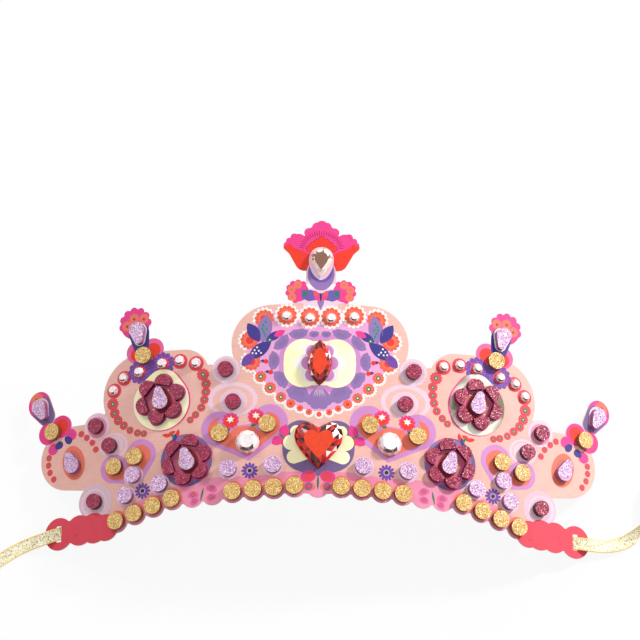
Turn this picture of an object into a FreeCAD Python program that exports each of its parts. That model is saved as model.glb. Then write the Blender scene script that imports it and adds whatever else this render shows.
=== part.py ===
# Paper crown: a die-cut tiara of printed card, curled about its upright axis and lying face up.
# Foam dots, petals and drops, flat-backed gems and foil leaves are stuck on its front face.
# A flat ribbon is threaded through a slot in each end tab.
# Frame: +X to the wearer's left as the face is seen, +Y up the crown, +Z out of the face.
# The origin is under the middle of the card, on the table that it lies on.
import FreeCAD
import Part
import math
import os

from FreeCAD import Placement, Rotation, Vector

doc = FreeCAD.newDocument("PaperCrown")

# Driving dimensions in millimetres, and angles in degrees.
# Places on the card are measured on its curled face: across from the middle, and up.
SIZES = {
    # the card and its curl
    "curl_radius": 235,
    "card_thickness": 0.5,
    # things stuck on the card
    "foam_thickness": 2.5,
    "foil_thickness": 0.1,
    "glue_gap": 0.05,
    "gold_dot": 7.7,
    "lilac_dot": 7.4,
    "crimson_dot": 7.0,
    "drop_width": 7.2,
    "drop_length": 10.4,
    "drop_tip": 3.8,
    "petal_across": 7.6,
    "petal_depth": 5.0,
    "petal_ring_radius": 7.75,
    "petal_first_angle": 20,
    # gems
    "small_gem": 4.9,
    "small_gem_height": 2.2,
    "round_gem": 11,
    "round_gem_height": 3.6,
    "heart_width": 21.6,
    "heart_length": 21.6,
    "heart_height": 4.6,
    "marquise_width": 10.8,
    "marquise_length": 21.3,
    "marquise_height": 4.0,
    "teardrop_width": 10.2,
    "teardrop_length": 14.4,
    "teardrop_height": 3.6,
    # scalloped lower edge: one dot on each scallop
    "edge_pitch": 9.2,
    "edge_rim": 1.15,
    "edge_up": 6.2,
    "edge_first": 10.3,
    "edge_fall_middle": 4.8,
    "edge_fall_side": 18.5,
    "edge_web": 2.8,
    # card left round the dots that stand on pads of their own
    "shoulder_rim": 2.9,
    "end_pad_rim": 5.0,
    # centre lobe
    "centre_lobe_up": 72,
    "centre_lobe_across": 21.7,
    "centre_lobe_shoulder": 18,
    "centre_lobe_crown": 25,
    "centre_lobe_rise": 1.3,
    "neck_radius": 6.7,
    "neck_length": 22,
    "crest_rise": 27.4,
    # side lobes
    "side_lobe_across": 80.3,
    "side_lobe_up": 50.4,
    "side_lobe_shoulder": 20,
    "side_lobe_inner": 12,
    # outer lobes
    "outer_lobe_across": 117.8,
    "outer_lobe_up": 24.3,
    "outer_lobe_radius": 14.6,
    "outer_lobe_inner": 9.3,
    # end tabs and their ribbon slots
    "tab_across": 121.3,
    "tab_up": -10.3,
    "tab_end_radius": 7.5,
    "tab_body_radius": 7.0,
    "tab_strip_radius": 4.0,
    "slot_width": 2.8,
    "slot_clearance": 0.7,
    # ribbons
    "ribbon_width": 6,
    "ribbon_thickness": 0.3,
    "ribbon_coil_width": 70,
    "ribbon_coil_wall": 9,
}

sheet = doc.addObject("Spreadsheet::Sheet", "Sizes")
for row, (alias, value) in enumerate(SIZES.items(), start=1):
    sheet.set(f"A{row}", alias)
    sheet.set(f"B{row}", str(value))
    sheet.setAlias(f"B{row}", alias)
doc.recompute()

SIDES = (("left", -1), ("right", 1))
nodes = []


def size(alias):
    """A driving dimension, read from the sheet."""
    return float(sheet.get(alias))


def on_card(across, up, lift=0.0, turn=0.0):
    """Place on the curled face, with local Z square to the card and local Y up it."""
    radius = size("curl_radius")
    angle = across / radius
    reach = radius + lift
    spot = Vector(reach * math.sin(angle), up, reach * math.cos(angle) - radius)
    curl = Rotation(Vector(0, 1, 0), math.degrees(angle))
    return Placement(spot, curl.multiply(Rotation(Vector(0, 0, 1), turn)))


def keep(thing, label):
    """Names a finished piece and lists it for writing."""
    thing.Label = label
    nodes.append(thing)
    return thing


def shaped(name, shape):
    """A document object for a shape that is worked out from the sheet's values."""
    thing = doc.addObject("Part::Feature", name)
    thing.Shape = shape
    return thing


# Die-cut outline

# How far a cutting plug reaches each side of the sheet, more than a wide lobe's curl is deep.
PLUG_REACH = 9


def disc_plug(name, across, up, radius_rule):
    """Round plug through the sheet, square to it where it stands."""
    plug = doc.addObject("Part::Cylinder", name)
    plug.setExpression("Radius", radius_rule)
    plug.Height = 2 * PLUG_REACH
    plug.Placement = on_card(across, up, -PLUG_REACH)
    return plug


def web(first, second):
    """Flat face between the outer tangent points of two discs, each given as (x, y, radius)."""
    run = Vector(second[0] - first[0], second[1] - first[1], 0)
    heading = math.atan2(run.y, run.x)
    spread = math.acos((first[2] - second[2]) / run.Length)
    corners = [
        Vector(x + radius * math.cos(heading + turn), y + radius * math.sin(heading + turn), 0)
        for (x, y, radius), turn in (
            (first, spread),
            (second, spread),
            (second, -spread),
            (first, -spread),
        )
    ]
    return Part.Face(Part.makePolygon(corners + corners[:1]))


def rounded_solid(discs, height, webs=True):
    """Upright solid of a chain of discs, each joined to the next by a straight web if webs is true."""
    up = Vector(0, 0, height)
    parts = [Part.makeCylinder(radius, height, Vector(x, y, 0)) for x, y, radius in discs]
    if webs:
        parts += [web(a, b).extrude(up) for a, b in zip(discs, discs[1:])]
    return parts[0].multiFuse(parts[1:]).removeSplitter()


def lobe_plug(name, across, up, discs, webs=True):
    """Plug for a lobe made of several discs, placed from the lobe's own centre."""
    plug = shaped(name, rounded_solid(discs, 2 * PLUG_REACH, webs))
    plug.Placement = on_card(across, up, -PLUG_REACH)
    return plug


def mirrored(discs, sign):
    """The same discs for the side that a sign stands for."""
    return [(sign * x, y, radius) for x, y, radius in discs]


def ruffled(x, y, radius, bump, first, last, count):
    """A disc with small bumps along its rim from one angle to another: a flower's frilled edge."""
    bumps = []
    for step in range(count):
        angle = math.radians(first + (last - first) * step / (count - 1))
        bumps.append((x + radius * math.cos(angle), y + radius * math.sin(angle), bump))
    return [(x, y, radius + bump / 2), *bumps]


def edge_places():
    """Places of the lower edge's scallops on one side, outwards from the middle."""
    pitch = size("edge_pitch")
    across, up = size("edge_first"), size("edge_up")
    places = []
    for count in range(10):
        places.append((across, up))
        fall = math.radians(size("edge_fall_middle") if count < 6 else size("edge_fall_side"))
        across += pitch * math.cos(fall)
        up -= pitch * math.sin(fall)
    return places


EDGE = edge_places()
# The two scallops between them carry printed butterflies and no dots.
INNER_DOTS = EDGE[:4]
OUTER_DOTS = EDGE[6:]

centre_up = size("centre_lobe_up")
side_across, side_up = size("side_lobe_across"), size("side_lobe_up")
outer_across, outer_up = size("outer_lobe_across"), size("outer_lobe_up")
tab_across, tab_up = size("tab_across"), size("tab_up")


def between(share):
    """Distance across of a place that lies a share of the way from the side lobe to the outer one."""
    return side_across + share * (outer_across - side_across)


# Places on the centre lobe and below it keep their distance from that lobe's centre.
MARQUISE_UP = centre_up - 9.2
HEART_UP = centre_up - 47.4
TEARDROP_UP = centre_up + 37.5
CENTRE_GEMS = [
    (-15.1, centre_up + 12.5),
    (-4.7, centre_up + 11.7),
    (4.7, centre_up + 11.7),
    (15.1, centre_up + 12.5),
]
CENTRE_PADS = [(42.1, centre_up - 11.9), (38.4, centre_up - 27.0)]
NOTCH = (49.4, centre_up - 9.0)
ROUND_GEM = (31.6, centre_up - 45.5)
INNER_HEART_DOTS = [(22.8, centre_up - 37.5), (44.0, centre_up - 41.4)]
INNER_LILAC_DOTS = [(20.0, centre_up - 56.2), (39.8, centre_up - 57.6)]

# Places on the side lobe and below it.
SIDE_BUD = (side_across + 0.1, side_up + 18.1)
SIDE_LOBE_INNER = (side_across - 18.6, side_up + 8.0)
SIDE_LOBE_OUTER = (side_across + 17.0, side_up - 4.0)
MEDALLION = (side_across - 8.3, side_up - 2.8)
LOWER_FLOWER = (side_across - 21.3, side_up - 31.3)
SIDE_GEMS = [
    (side_across + 14.8, side_up + 3.3),
    (side_across + 9.9, side_up + 8.8),
    (side_across + 2.6, side_up + 10.8),
    (side_across - 8.3, side_up + 14.0),
    (side_across - 16.7, side_up + 14.8),
    (side_across - 24.3, side_up + 13.4),
]

# Places on the outer lobe, and those that share the room between it and the side lobe.
OUTER_BUD = (outer_across + 7.9, outer_up + 12.9)
OUTER_LOBE_INNER = [(outer_across - 8.8, outer_up - 6.3), (outer_across - 8.8, outer_up + 5.7)]
SHOULDER_PAD = (outer_across - 14.6, outer_up + 13.3)
LOWER_SHOULDER_DOT = (between(0.419), outer_up + 3.7)
END_PAD = (between(0.597), outer_up - 21.6)
END_PAD_FOOT = END_PAD[1] - 12.0
OUTER_HEART_DOTS = [(between(0.08), outer_up - 2.4), (between(0.344), outer_up - 6.3)]
OUTER_LILAC_DOTS = [
    (between(0.099), outer_up - 10.8),
    (side_across - 9.0, outer_up - 15.7),
    (between(0.189), outer_up - 20.0),
]

# Outlines of lobes, flowers and foil: discs as (x, y, radius) from the shape's own place, for the
# right-hand side.
CREST_FLOWER = (0, 1.2, 7.0)
CREST_TOP = (0, 8.0, 2.9)
CREST_FRILL = [(10.4, 0.8, 3.7), (12.4, 3.1, 1.7), (14.6, 1.3, 1.5), (16.2, -0.6, 1.0), (12.0, -1.0, 3.0)]
CREST_LEAF = [(7.4, -8.2, 4.6), (11.6, -2.4, 3.7), (15.6, -1.5, 1.6)]
CARNATION = (10.4, 4.9, 4.2)
CARNATION_STALK = [(0, 3.2, 4.4), (8.0, 3.4, 4.4)]
SIDE_BUD_DISCS = [(-3.9, 3.0, 5.2), (3.9, 2.0, 5.1)]
SIDE_FAN_STEM = [(2.0, 5.5, 4.0), (3.5, 12.5, 5.0)]
SIDE_FAN = (5.2, 15.5, 6.2)
OUTER_BUD_DISCS = [(-3.8, 2.4, 5.3), (3.4, -0.2, 5.2)]
OUTER_LEAF = [(4.6, 8.2, 4.6), (8.9, 14.1, 6.2)]
MEDALLION_FOIL = [(0, -1.0, 13.1), (-0.6, 5.6, 8.6)]
WINDOW_CHEEK = [(7.4, 2.5, 8.7), (7.4, -2.5, 8.7)]
WINDOW_BRIDGE = [(-6, 0, 10.2), (6, 0, 10.2)]
WINDOW_PETALS = [(4.6, 5.4, 3.5), (7.8, 0.0, 3.7), (4.8, -5.4, 3.5)]
WINDOW_EYE = (0, 0, 3.0)
WING_TIPS = [(12.2, 1.7, 3.5), (10.9, -4.9, 3.1), (9.9, 6.7, 2.8)]
WING_ROOT = (0, 0, 4.0)


def body_plug():
    """Middle of the card, between the centres of the discs round it, cut straight down."""
    drop = size("edge_web")
    edge = [(across, up - drop) for across, up in EDGE]
    rim = edge + [
        (END_PAD[0], END_PAD_FOOT),
        END_PAD,
        *OUTER_LOBE_INNER,
        SHOULDER_PAD,
        SIDE_LOBE_OUTER,
        (side_across, side_up),
        SIDE_LOBE_INNER,
        NOTCH,
        CENTRE_PADS[0],
        (size("centre_lobe_across"), centre_up),
    ]
    radius = size("curl_radius")
    depth = radius * (1 - math.cos(outer_across / radius)) + PLUG_REACH
    right = [Vector(radius * math.sin(across / radius), up, -depth) for across, up in rim]
    left = [Vector(-point.x, point.y, point.z) for point in reversed(right)]
    outline = Part.makePolygon(right + left + right[:1])
    return shaped("body_plug", Part.Face(outline).extrude(Vector(0, 0, depth + PLUG_REACH)))


def centre_plugs():
    """Centre lobe with its top flower, neck and two small carnations."""
    across, shoulder = size("centre_lobe_across"), size("centre_lobe_shoulder")
    crown, neck_radius = size("centre_lobe_crown"), size("neck_radius")
    top = shoulder + size("centre_lobe_rise")
    crest_up = centre_up + top + size("crest_rise")
    lobe = [(-across, 0, shoulder), (0, top - crown, crown), (across, 0, shoulder)]
    neck = [(0, top, neck_radius), (0, top + size("neck_length"), neck_radius)]
    crest = ruffled(*CREST_FLOWER, 2.2, 35, 145, 4) + [CREST_TOP]
    plugs = [
        lobe_plug("centre_lobe_plug", 0, centre_up, lobe),
        lobe_plug("neck_plug", 0, centre_up, neck),
        lobe_plug("crest_plug", 0, crest_up, crest, webs=False),
    ]
    for side, sign in SIDES:
        leaf, frill = mirrored(CREST_LEAF, sign), mirrored(CREST_FRILL, sign)
        stalk = mirrored(CARNATION_STALK, sign)
        turn = 0 if sign > 0 else 180
        flower = mirrored([CARNATION], sign)[0]
        carnation = ruffled(*flower, 1.4, turn - 75 * sign, turn + 125 * sign, 7)
        plugs.append(lobe_plug(f"crest_leaf_plug_{side}", 0, crest_up, leaf))
        plugs.append(lobe_plug(f"crest_frill_plug_{side}", 0, crest_up, frill, webs=False))
        plugs.append(lobe_plug(f"carnation_plug_{side}", 0, centre_up + top, carnation, webs=False))
        plugs.append(lobe_plug(f"carnation_stalk_plug_{side}", 0, centre_up + top, stalk))
    return plugs


def tab_outline():
    """Discs of an end tab, from its round end inwards, and the strip that ties them to the card."""
    body, strip = size("tab_body_radius"), size("tab_strip_radius")
    discs = [
        (0, 0, size("tab_end_radius")),
        (-10.9, 0.8, body),
        (-18.1, 1.2, body),
        (-24.0, 1.0, body - 0.8),
    ]
    root = (END_PAD[0] - tab_across, END_PAD_FOOT - tab_up, strip)
    return discs, [(0, 0, strip), root]


def side_plugs(side, sign):
    """Side lobe with its bud and fan, outer lobe with its bud and leaf, pads and end tab."""
    inner = (SIDE_LOBE_INNER[0] - side_across, SIDE_LOBE_INNER[1] - side_up)
    side_lobe = [(*inner, size("side_lobe_inner")), (0, 0, size("side_lobe_shoulder"))]
    low, high = [
        (across - outer_across, up - outer_up, size("outer_lobe_inner")) for across, up in OUTER_LOBE_INNER
    ]
    tab, tab_strip = tab_outline()
    unwebbed = ("side_fan", "tab")
    groups = {
        "side_lobe": (side_across, side_up, side_lobe),
        "side_bud": (*SIDE_BUD, SIDE_BUD_DISCS),
        "side_fan_stem": (*SIDE_BUD, SIDE_FAN_STEM),
        "side_fan": (*SIDE_BUD, ruffled(*SIDE_FAN, 1.8, -10, 176, 7)),
        "outer_lobe": (outer_across, outer_up, [high, (0, 0, size("outer_lobe_radius")), low]),
        "outer_bud": (*OUTER_BUD, OUTER_BUD_DISCS),
        "outer_leaf": (*OUTER_BUD, OUTER_LEAF),
        "tab": (tab_across, tab_up, tab),
        "tab_strip": (tab_across, tab_up, tab_strip),
    }
    plugs = [
        lobe_plug(f"{name}_plug_{side}", sign * across, up, mirrored(discs, sign), name not in unwebbed)
        for name, (across, up, discs) in groups.items()
    ]
    discs = {
        "end_pad": (*END_PAD, "Sizes.crimson_dot / 2 + Sizes.end_pad_rim"),
        "shoulder_pad": (*SHOULDER_PAD, "Sizes.crimson_dot / 2 + Sizes.shoulder_rim"),
        "centre_pad": (*CENTRE_PADS[0], "Sizes.crimson_dot / 2 + Sizes.shoulder_rim"),
    }
    for name, (across, up, rule) in discs.items():
        plugs.append(disc_plug(f"{name}_plug_{side}", sign * across, up, rule))
    for count, (across, up) in enumerate(EDGE, start=1):
        name = f"scallop_plug_{side}_{count}"
        plugs.append(disc_plug(name, sign * across, up, "Sizes.gold_dot / 2 + Sizes.edge_rim"))
    return plugs


def ribbon_slot(side, sign):
    """Slot through a tab's round end, as wide as the ribbon with its clearance."""
    slot = doc.addObject("Part::Box", f"ribbon_slot_{side}")
    slot.setExpression("Length", "Sizes.slot_width")
    slot.setExpression("Width", "Sizes.ribbon_width + 2 * Sizes.slot_clearance")
    slot.Height = 2 * PLUG_REACH
    half = Vector(size("slot_width") / 2, size("ribbon_width") / 2 + size("slot_clearance"), 0)
    corner = Placement(Vector(-half.x, -half.y, 0), Rotation())
    slot.Placement = on_card(sign * tab_across, tab_up, -PLUG_REACH).multiply(corner)
    return slot


def curled_sheet(name, inner_rule, outer_rule):
    """Tube whose wall is a sheet curled about the crown's upright axis, longer than the card is high."""
    foot = tab_up - size("centre_lobe_up")
    around = Placement(Vector(0, foot, -size("curl_radius")), Rotation(Vector(1, 0, 0), -90))
    walls = []
    for wall, rule in (("outer", outer_rule), ("inner", inner_rule)):
        tube = doc.addObject("Part::Cylinder", f"{name}_{wall}")
        tube.setExpression("Radius", rule)
        tube.setExpression("Height", "4 * Sizes.centre_lobe_up")
        tube.Placement = around
        walls.append(tube)
    sheet_tube = doc.addObject("Part::Cut", name)
    sheet_tube.Base, sheet_tube.Tool = walls
    return sheet_tube


def fused(name, parts):
    """Union of several document objects."""
    union = doc.addObject("Part::MultiFuse", name)
    union.Shapes = parts
    return union


def crown_card():
    """The card: the curled sheet where the outline's plugs pass through it, with two slots."""
    plugs = [body_plug(), *centre_plugs()]
    plugs.append(disc_plug("scallop_plug_middle", 0, EDGE[0][1], "Sizes.gold_dot / 2 + Sizes.edge_rim"))
    for side, sign in SIDES:
        plugs += side_plugs(side, sign)
    curled = curled_sheet("card_sheet", "Sizes.curl_radius - Sizes.card_thickness", "Sizes.curl_radius")
    patches = []
    for plug in plugs:
        patch = doc.addObject("Part::Common", f"{plug.Name}_patch")
        patch.Base, patch.Tool = plug, curled
        patches.append(patch)
    slotted = doc.addObject("Part::Cut", "printed_card")
    slotted.Base = fused("card_blank", patches)
    slotted.Tool = fused("ribbon_slots", [ribbon_slot(side, sign) for side, sign in SIDES])
    slotted.Refine = True
    return keep(slotted, "printed_card")


card = crown_card()
doc.recompute()


def resting_place():
    """How the curled card lies: leaf tips and tab ends on the table, its middle at X = Y = 0."""
    radius = size("curl_radius")
    tip_x, tip_y, tip_radius = OUTER_LEAF[-1]
    leaf_edge, leaf_up = OUTER_BUD[0] + tip_x + tip_radius, OUTER_BUD[1] + tip_y
    tab_edge = tab_across + size("tab_end_radius")
    fall = radius * (math.cos(tab_edge / radius) - math.cos(leaf_edge / radius))
    lean = Rotation(Vector(1, 0, 0), math.degrees(math.atan2(fall, leaf_up - tab_up)))
    leaned = card.Shape.copy()
    leaned.Placement = Placement(Vector(), lean)
    box = leaned.optimalBoundingBox(False)
    return Placement(Vector(0, -(box.YMin + box.YMax) / 2, -box.ZMin), lean)


lay = resting_place()
card.Placement = lay


# Foam shapes


def dot(name, across, up, across_alias, lift=0.0):
    """Round foam dot stuck on the card."""
    foam = doc.addObject("Part::Cylinder", name)
    foam.setExpression("Radius", f"Sizes.{across_alias} / 2")
    foam.setExpression("Height", "Sizes.foam_thickness")
    foam.Placement = lay.multiply(on_card(across, up, size("glue_gap") + lift))
    return foam


def dot_group(label, places, across_alias):
    """Several like dots kept as one node."""
    group = doc.addObject("Part::Compound", label)
    group.Links = [
        dot(f"{label}_{count}", across, up, across_alias)
        for count, (across, up) in enumerate(places, start=1)
    ]
    return keep(group, label)


def egg(width, length, tip):
    """Discs of an egg-shaped outline about its own middle, narrow end up."""
    broad, narrow = width / 2, tip / 2
    return [(0, broad - length / 2, broad), (0, length / 2 - narrow, narrow)]


def drop(label, across, up, turn, lift=0.0):
    """Egg-shaped foam drop. Its narrow end points up the card, then turns anticlockwise."""
    outline = egg(size("drop_width"), size("drop_length"), size("drop_tip"))
    foam = shaped(label, rounded_solid(outline, size("foam_thickness")))
    foam.Placement = lay.multiply(on_card(across, up, size("glue_gap") + lift, turn))
    return keep(foam, label)


def petal_ring(label, across, up, sign, lift=0.0):
    """Six half-round foam petals round a centre, flat sides inwards."""
    radius, depth = size("petal_across") / 2, size("petal_depth")
    thickness = size("foam_thickness")
    disc = Part.makeCylinder(radius, thickness)
    trim = Part.makeBox(radius, 2 * radius, thickness, Vector(-radius, -radius, 0))
    trim.translate(Vector(radius - depth, 0, 0))
    petal = disc.cut(trim)
    ring, petals = size("petal_ring_radius"), []
    for count in range(6):
        angle = size("petal_first_angle") + 60 * count
        turn = angle if sign < 0 else 180 - angle
        heading = math.radians(turn)
        spot = (across + ring * math.cos(heading), up + ring * math.sin(heading))
        leaf = petal.copy()
        leaf.Placement = on_card(*spot, size("glue_gap") + lift, turn)
        petals.append(leaf)
    foam = shaped(label, Part.makeCompound(petals))
    foam.Placement = lay
    return keep(foam, label)


DOT_GROUPS = {
    "gold_dots_edge_inner": (INNER_DOTS, "gold_dot"),
    "gold_dots_edge_outer": (OUTER_DOTS, "gold_dot"),
    "gold_dots_heart_inner": (INNER_HEART_DOTS, "gold_dot"),
    "gold_dots_heart_outer": (OUTER_HEART_DOTS, "gold_dot"),
    "lilac_dots_inner": (INNER_LILAC_DOTS, "lilac_dot"),
    "lilac_dots_outer": (OUTER_LILAC_DOTS, "lilac_dot"),
}
SINGLE_DOTS = {
    "gold_dot_upper": (SIDE_BUD, "gold_dot"),
    "gold_dot_outer": (OUTER_BUD, "gold_dot"),
    "crimson_dot_inner_upper": (CENTRE_PADS[0], "crimson_dot"),
    "crimson_dot_inner_lower": (CENTRE_PADS[1], "crimson_dot"),
    "crimson_dot_shoulder_upper": (SHOULDER_PAD, "crimson_dot"),
    "crimson_dot_shoulder_lower": (LOWER_SHOULDER_DOT, "crimson_dot"),
    "crimson_dot_end": (END_PAD, "crimson_dot"),
}
# Each drop's place, and how far its narrow end turns from straight up on the left-hand side.
DROPS = {
    "drop_fan": (SIDE_BUD[0] + 3.2, SIDE_BUD[1] + 10.6, 192),
    "drop_leaf": (OUTER_BUD[0] + 7.1, OUTER_BUD[1] + 11.1, 208),
    "drop_outer_lobe": (outer_across - 2.7, outer_up - 2.5, 25),
    "drop_medallion": (MEDALLION[0], MEDALLION[1] + 0.5, 10),
    "drop_flower": (LOWER_FLOWER[0], LOWER_FLOWER[1] + 0.3, 15),
}


def foam_shapes():
    """All foam dots, drops and petals, each side in turn."""
    foil = size("foil_thickness") + size("glue_gap")
    for side, sign in SIDES:
        for name, (places, alias) in DOT_GROUPS.items():
            dot_group(f"{name}_{side}", [(sign * across, up) for across, up in places], alias)
        for name, ((across, up), alias) in SINGLE_DOTS.items():
            keep(dot(f"{name}_{side}", sign * across, up, alias), f"{name}_{side}")
        for name, (across, up, turn) in DROPS.items():
            lift = foil if name == "drop_medallion" else 0.0
            drop(f"{name}_{side}", sign * across, up, -sign * turn, lift)
        petal_ring(f"petals_medallion_{side}", sign * MEDALLION[0], MEDALLION[1], sign, foil)
        petal_ring(f"petals_flower_{side}", sign * LOWER_FLOWER[0], LOWER_FLOWER[1], sign)


foam_shapes()


# Foil leaves


def foil_leaf(label, across, up, outline, hole=None):
    """Thin mirror foil that lies on the curled card inside an outline of discs."""
    plug = lobe_plug(f"{label}_plug", across, up, outline[0])
    plugs = [plug] + [
        lobe_plug(f"{label}_plug_{count}", across, up, discs)
        for count, discs in enumerate(outline[1:], start=2)
    ]
    shape_plug = fused(f"{label}_outline", plugs) if len(plugs) > 1 else plug
    if hole:
        cut = doc.addObject("Part::Cut", f"{label}_cut")
        cut.Base = shape_plug
        punches = [
            lobe_plug(f"{label}_punch_{count}", across, up, discs)
            for count, discs in enumerate(hole, start=1)
        ]
        cut.Tool = fused(f"{label}_hole", punches)
        shape_plug = cut
    leaf = doc.addObject("Part::MultiCommon", label)
    low = "Sizes.curl_radius + Sizes.glue_gap / 2"
    leaf.Shapes = [curled_sheet(f"{label}_sheet", low, f"{low} + Sizes.foil_thickness"), shape_plug]
    leaf.Placement = lay
    return keep(leaf, label)


def foil_leaves():
    """Medallion discs, the centre window and the wings behind the heart."""
    window, flower, wings = [WINDOW_BRIDGE], [], []
    for side, sign in SIDES:
        egg_discs = mirrored(MEDALLION_FOIL, sign)
        foil_leaf(f"foil_disc_{side}", sign * MEDALLION[0], MEDALLION[1], [egg_discs])
        window.append(mirrored(WINDOW_CHEEK, sign))
        flower += [[petal, WINDOW_EYE] for petal in mirrored(WINDOW_PETALS, sign)]
        wings += [[tip, WING_ROOT] for tip in mirrored(WING_TIPS, sign)]
    foil_leaf("foil_window", 0, MARQUISE_UP, window, flower)
    foil_leaf("foil_wings", 0, HEART_UP, wings)


foil_leaves()


# Gems

# Shares of a gem's outline at its foot and table, and of its height at the girdle.
GEM_FOOT = 0.9
GEM_TABLE = 0.58
GEM_GIRDLE = 0.28


def gem_solid(outline, height):
    """Flat-backed gem: a foot, the girdle at its full outline and a smaller flat table."""
    rings = ((0.0, GEM_FOOT), (GEM_GIRDLE * height, 1.0), (height, GEM_TABLE))
    wires = []
    for level, share in rings:
        points = [Vector(x * share, y * share, level) for x, y in outline]
        wires.append(Part.makePolygon(points + points[:1]))
    return Part.makeLoft(wires, True, True)


def round_outline(across, corners):
    """Corners of a round gem's girdle."""
    angles = [math.tau * count / corners for count in range(corners)]
    return [(across / 2 * math.cos(angle), across / 2 * math.sin(angle)) for angle in angles]


def heart_outline():
    """Corners of the heart's girdle, from the notch round the right lobe to the tip and back."""
    half = [(0.12, 0.455), (0.25, 0.5), (0.38, 0.465), (0.47, 0.36), (0.5, 0.21)]
    half += [(0.47, 0.06), (0.38, -0.09), (0.26, -0.235), (0.13, -0.375)]
    width, length = size("heart_width"), size("heart_length")
    right = [(x * width, y * length) for x, y in half]
    left = [(-x, y) for x, y in reversed(right)]
    return [(0, 0.39 * length), *right, (0, -0.5 * length), *left][::-1]


def marquise_outline():
    """Corners along the two equal arcs of the marquise's girdle."""
    half_width, half_length = size("marquise_width") / 2, size("marquise_length") / 2
    radius = (half_width**2 + half_length**2) / (2 * half_width)
    sweep = math.asin(half_length / radius)
    right = [
        (radius * math.cos(sweep * step / 4) - radius + half_width, radius * math.sin(sweep * step / 4))
        for step in range(-4, 5)
    ]
    left = [(-x, -y) for x, y in right[1:-1]]
    return right + left


def teardrop_outline():
    """Corners of the teardrop's girdle: a round top and straight sides down to the tip."""
    radius, length = size("teardrop_width") / 2, size("teardrop_length")
    top = length / 2 - radius
    reach = length - radius
    flank = math.acos(radius / reach)
    first = -math.pi / 2 + flank
    sweep = 2 * math.pi - 2 * flank
    arc = [
        (radius * math.cos(first + sweep * step / 10), top + radius * math.sin(first + sweep * step / 10))
        for step in range(11)
    ]
    return [*arc, (0, top - reach)]


def gem(label, across, up, outline, height_alias, lift=0.0):
    """One gem stuck on the card."""
    stone = shaped(label, gem_solid(outline, size(height_alias)))
    stone.Placement = lay.multiply(on_card(across, up, size("glue_gap") + lift))
    return stone


def gems():
    """The heart, marquise and teardrop, two large round gems and the small ones in rows."""
    foil = size("foil_thickness") + size("glue_gap")
    keep(gem("heart_gem", 0, HEART_UP, heart_outline(), "heart_height", foil), "heart_gem")
    keep(gem("marquise_gem", 0, MARQUISE_UP, marquise_outline(), "marquise_height", foil), "marquise_gem")
    keep(gem("teardrop_gem", 0, TEARDROP_UP, teardrop_outline(), "teardrop_height"), "teardrop_gem")
    small, large = round_outline(size("small_gem"), 8), round_outline(size("round_gem"), 12)

    def small_row(label, places):
        row = doc.addObject("Part::Compound", label)
        row.Links = [
            gem(f"{label}_{count}", across, up, small, "small_gem_height")
            for count, (across, up) in enumerate(places, start=1)
        ]
        keep(row, label)

    small_row("small_gems_centre", CENTRE_GEMS)
    for side, sign in SIDES:
        label = f"round_gem_{side}"
        keep(gem(label, sign * ROUND_GEM[0], ROUND_GEM[1], large, "round_gem_height"), label)
        small_row(f"small_gems_{side}", [(sign * across, up) for across, up in SIDE_GEMS])


gems()


# Ribbons

# Each ribbon's middle line: from its tail under the card, through the slot and out over the tab's end,
# down to the table and away to its coil. The points are chosen by hand.
RIBBON_ROUTES = {
    "left": [
        (-107.8, -61.8, 4.0),
        (-116.2, -64.0, 4.15),
        (-123.6, -66.5, 3.1),
        (-130.2, -68.4, 0.9),
        (-136.8, -71.8, 0.35),
        (-143.8, -76.9, 0.3),
        (-152.0, -81.0, 0.6),
        (-161.0, -83.2, 1.4),
        (-170.5, -83.6, 2.6),
        (-178.5, -82.4, 3.0),
    ],
    "right": [
        (107.6, -64.9, 4.0),
        (116.2, -64.4, 4.15),
        (124.4, -65.4, 3.1),
        (131.6, -65.2, 1.3),
        (138.9, -62.9, 0.6),
        (145.1, -58.1, 0.8),
        (149.2, -51.5, 1.8),
        (150.5, -43.8, 3.0),
    ],
}
COIL_PLACES = {"left": Vector(-182, -48, 0), "right": Vector(182, -48, 0)}
# Share of the shorter run that an arc takes on each side of a corner.
ARC_SHARE = 0.45


def rounded_path(points):
    """Wire of straight runs joined by tangent arcs, with the arcs' radii."""
    edges, radii, start = [], [], points[0]
    for before, corner, after in zip(points, points[1:], points[2:]):
        back, ahead = before - corner, after - corner
        half_turn = (math.pi - back.getAngle(ahead)) / 2
        reach = ARC_SHARE * min(back.Length, ahead.Length)
        radius = reach / math.tan(half_turn)
        inwards = (back / back.Length + ahead / ahead.Length).normalize()
        first = corner + back / back.Length * reach
        last = corner + ahead / ahead.Length * reach
        middle = corner + inwards * (radius / math.cos(half_turn) - radius)
        edges.append(Part.LineSegment(start, first).toShape())
        edges.append(Part.Arc(first, middle, last).toShape())
        radii.append(radius)
        start = last
    edges.append(Part.LineSegment(start, points[-1]).toShape())
    return Part.Wire(edges), radii


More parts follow.
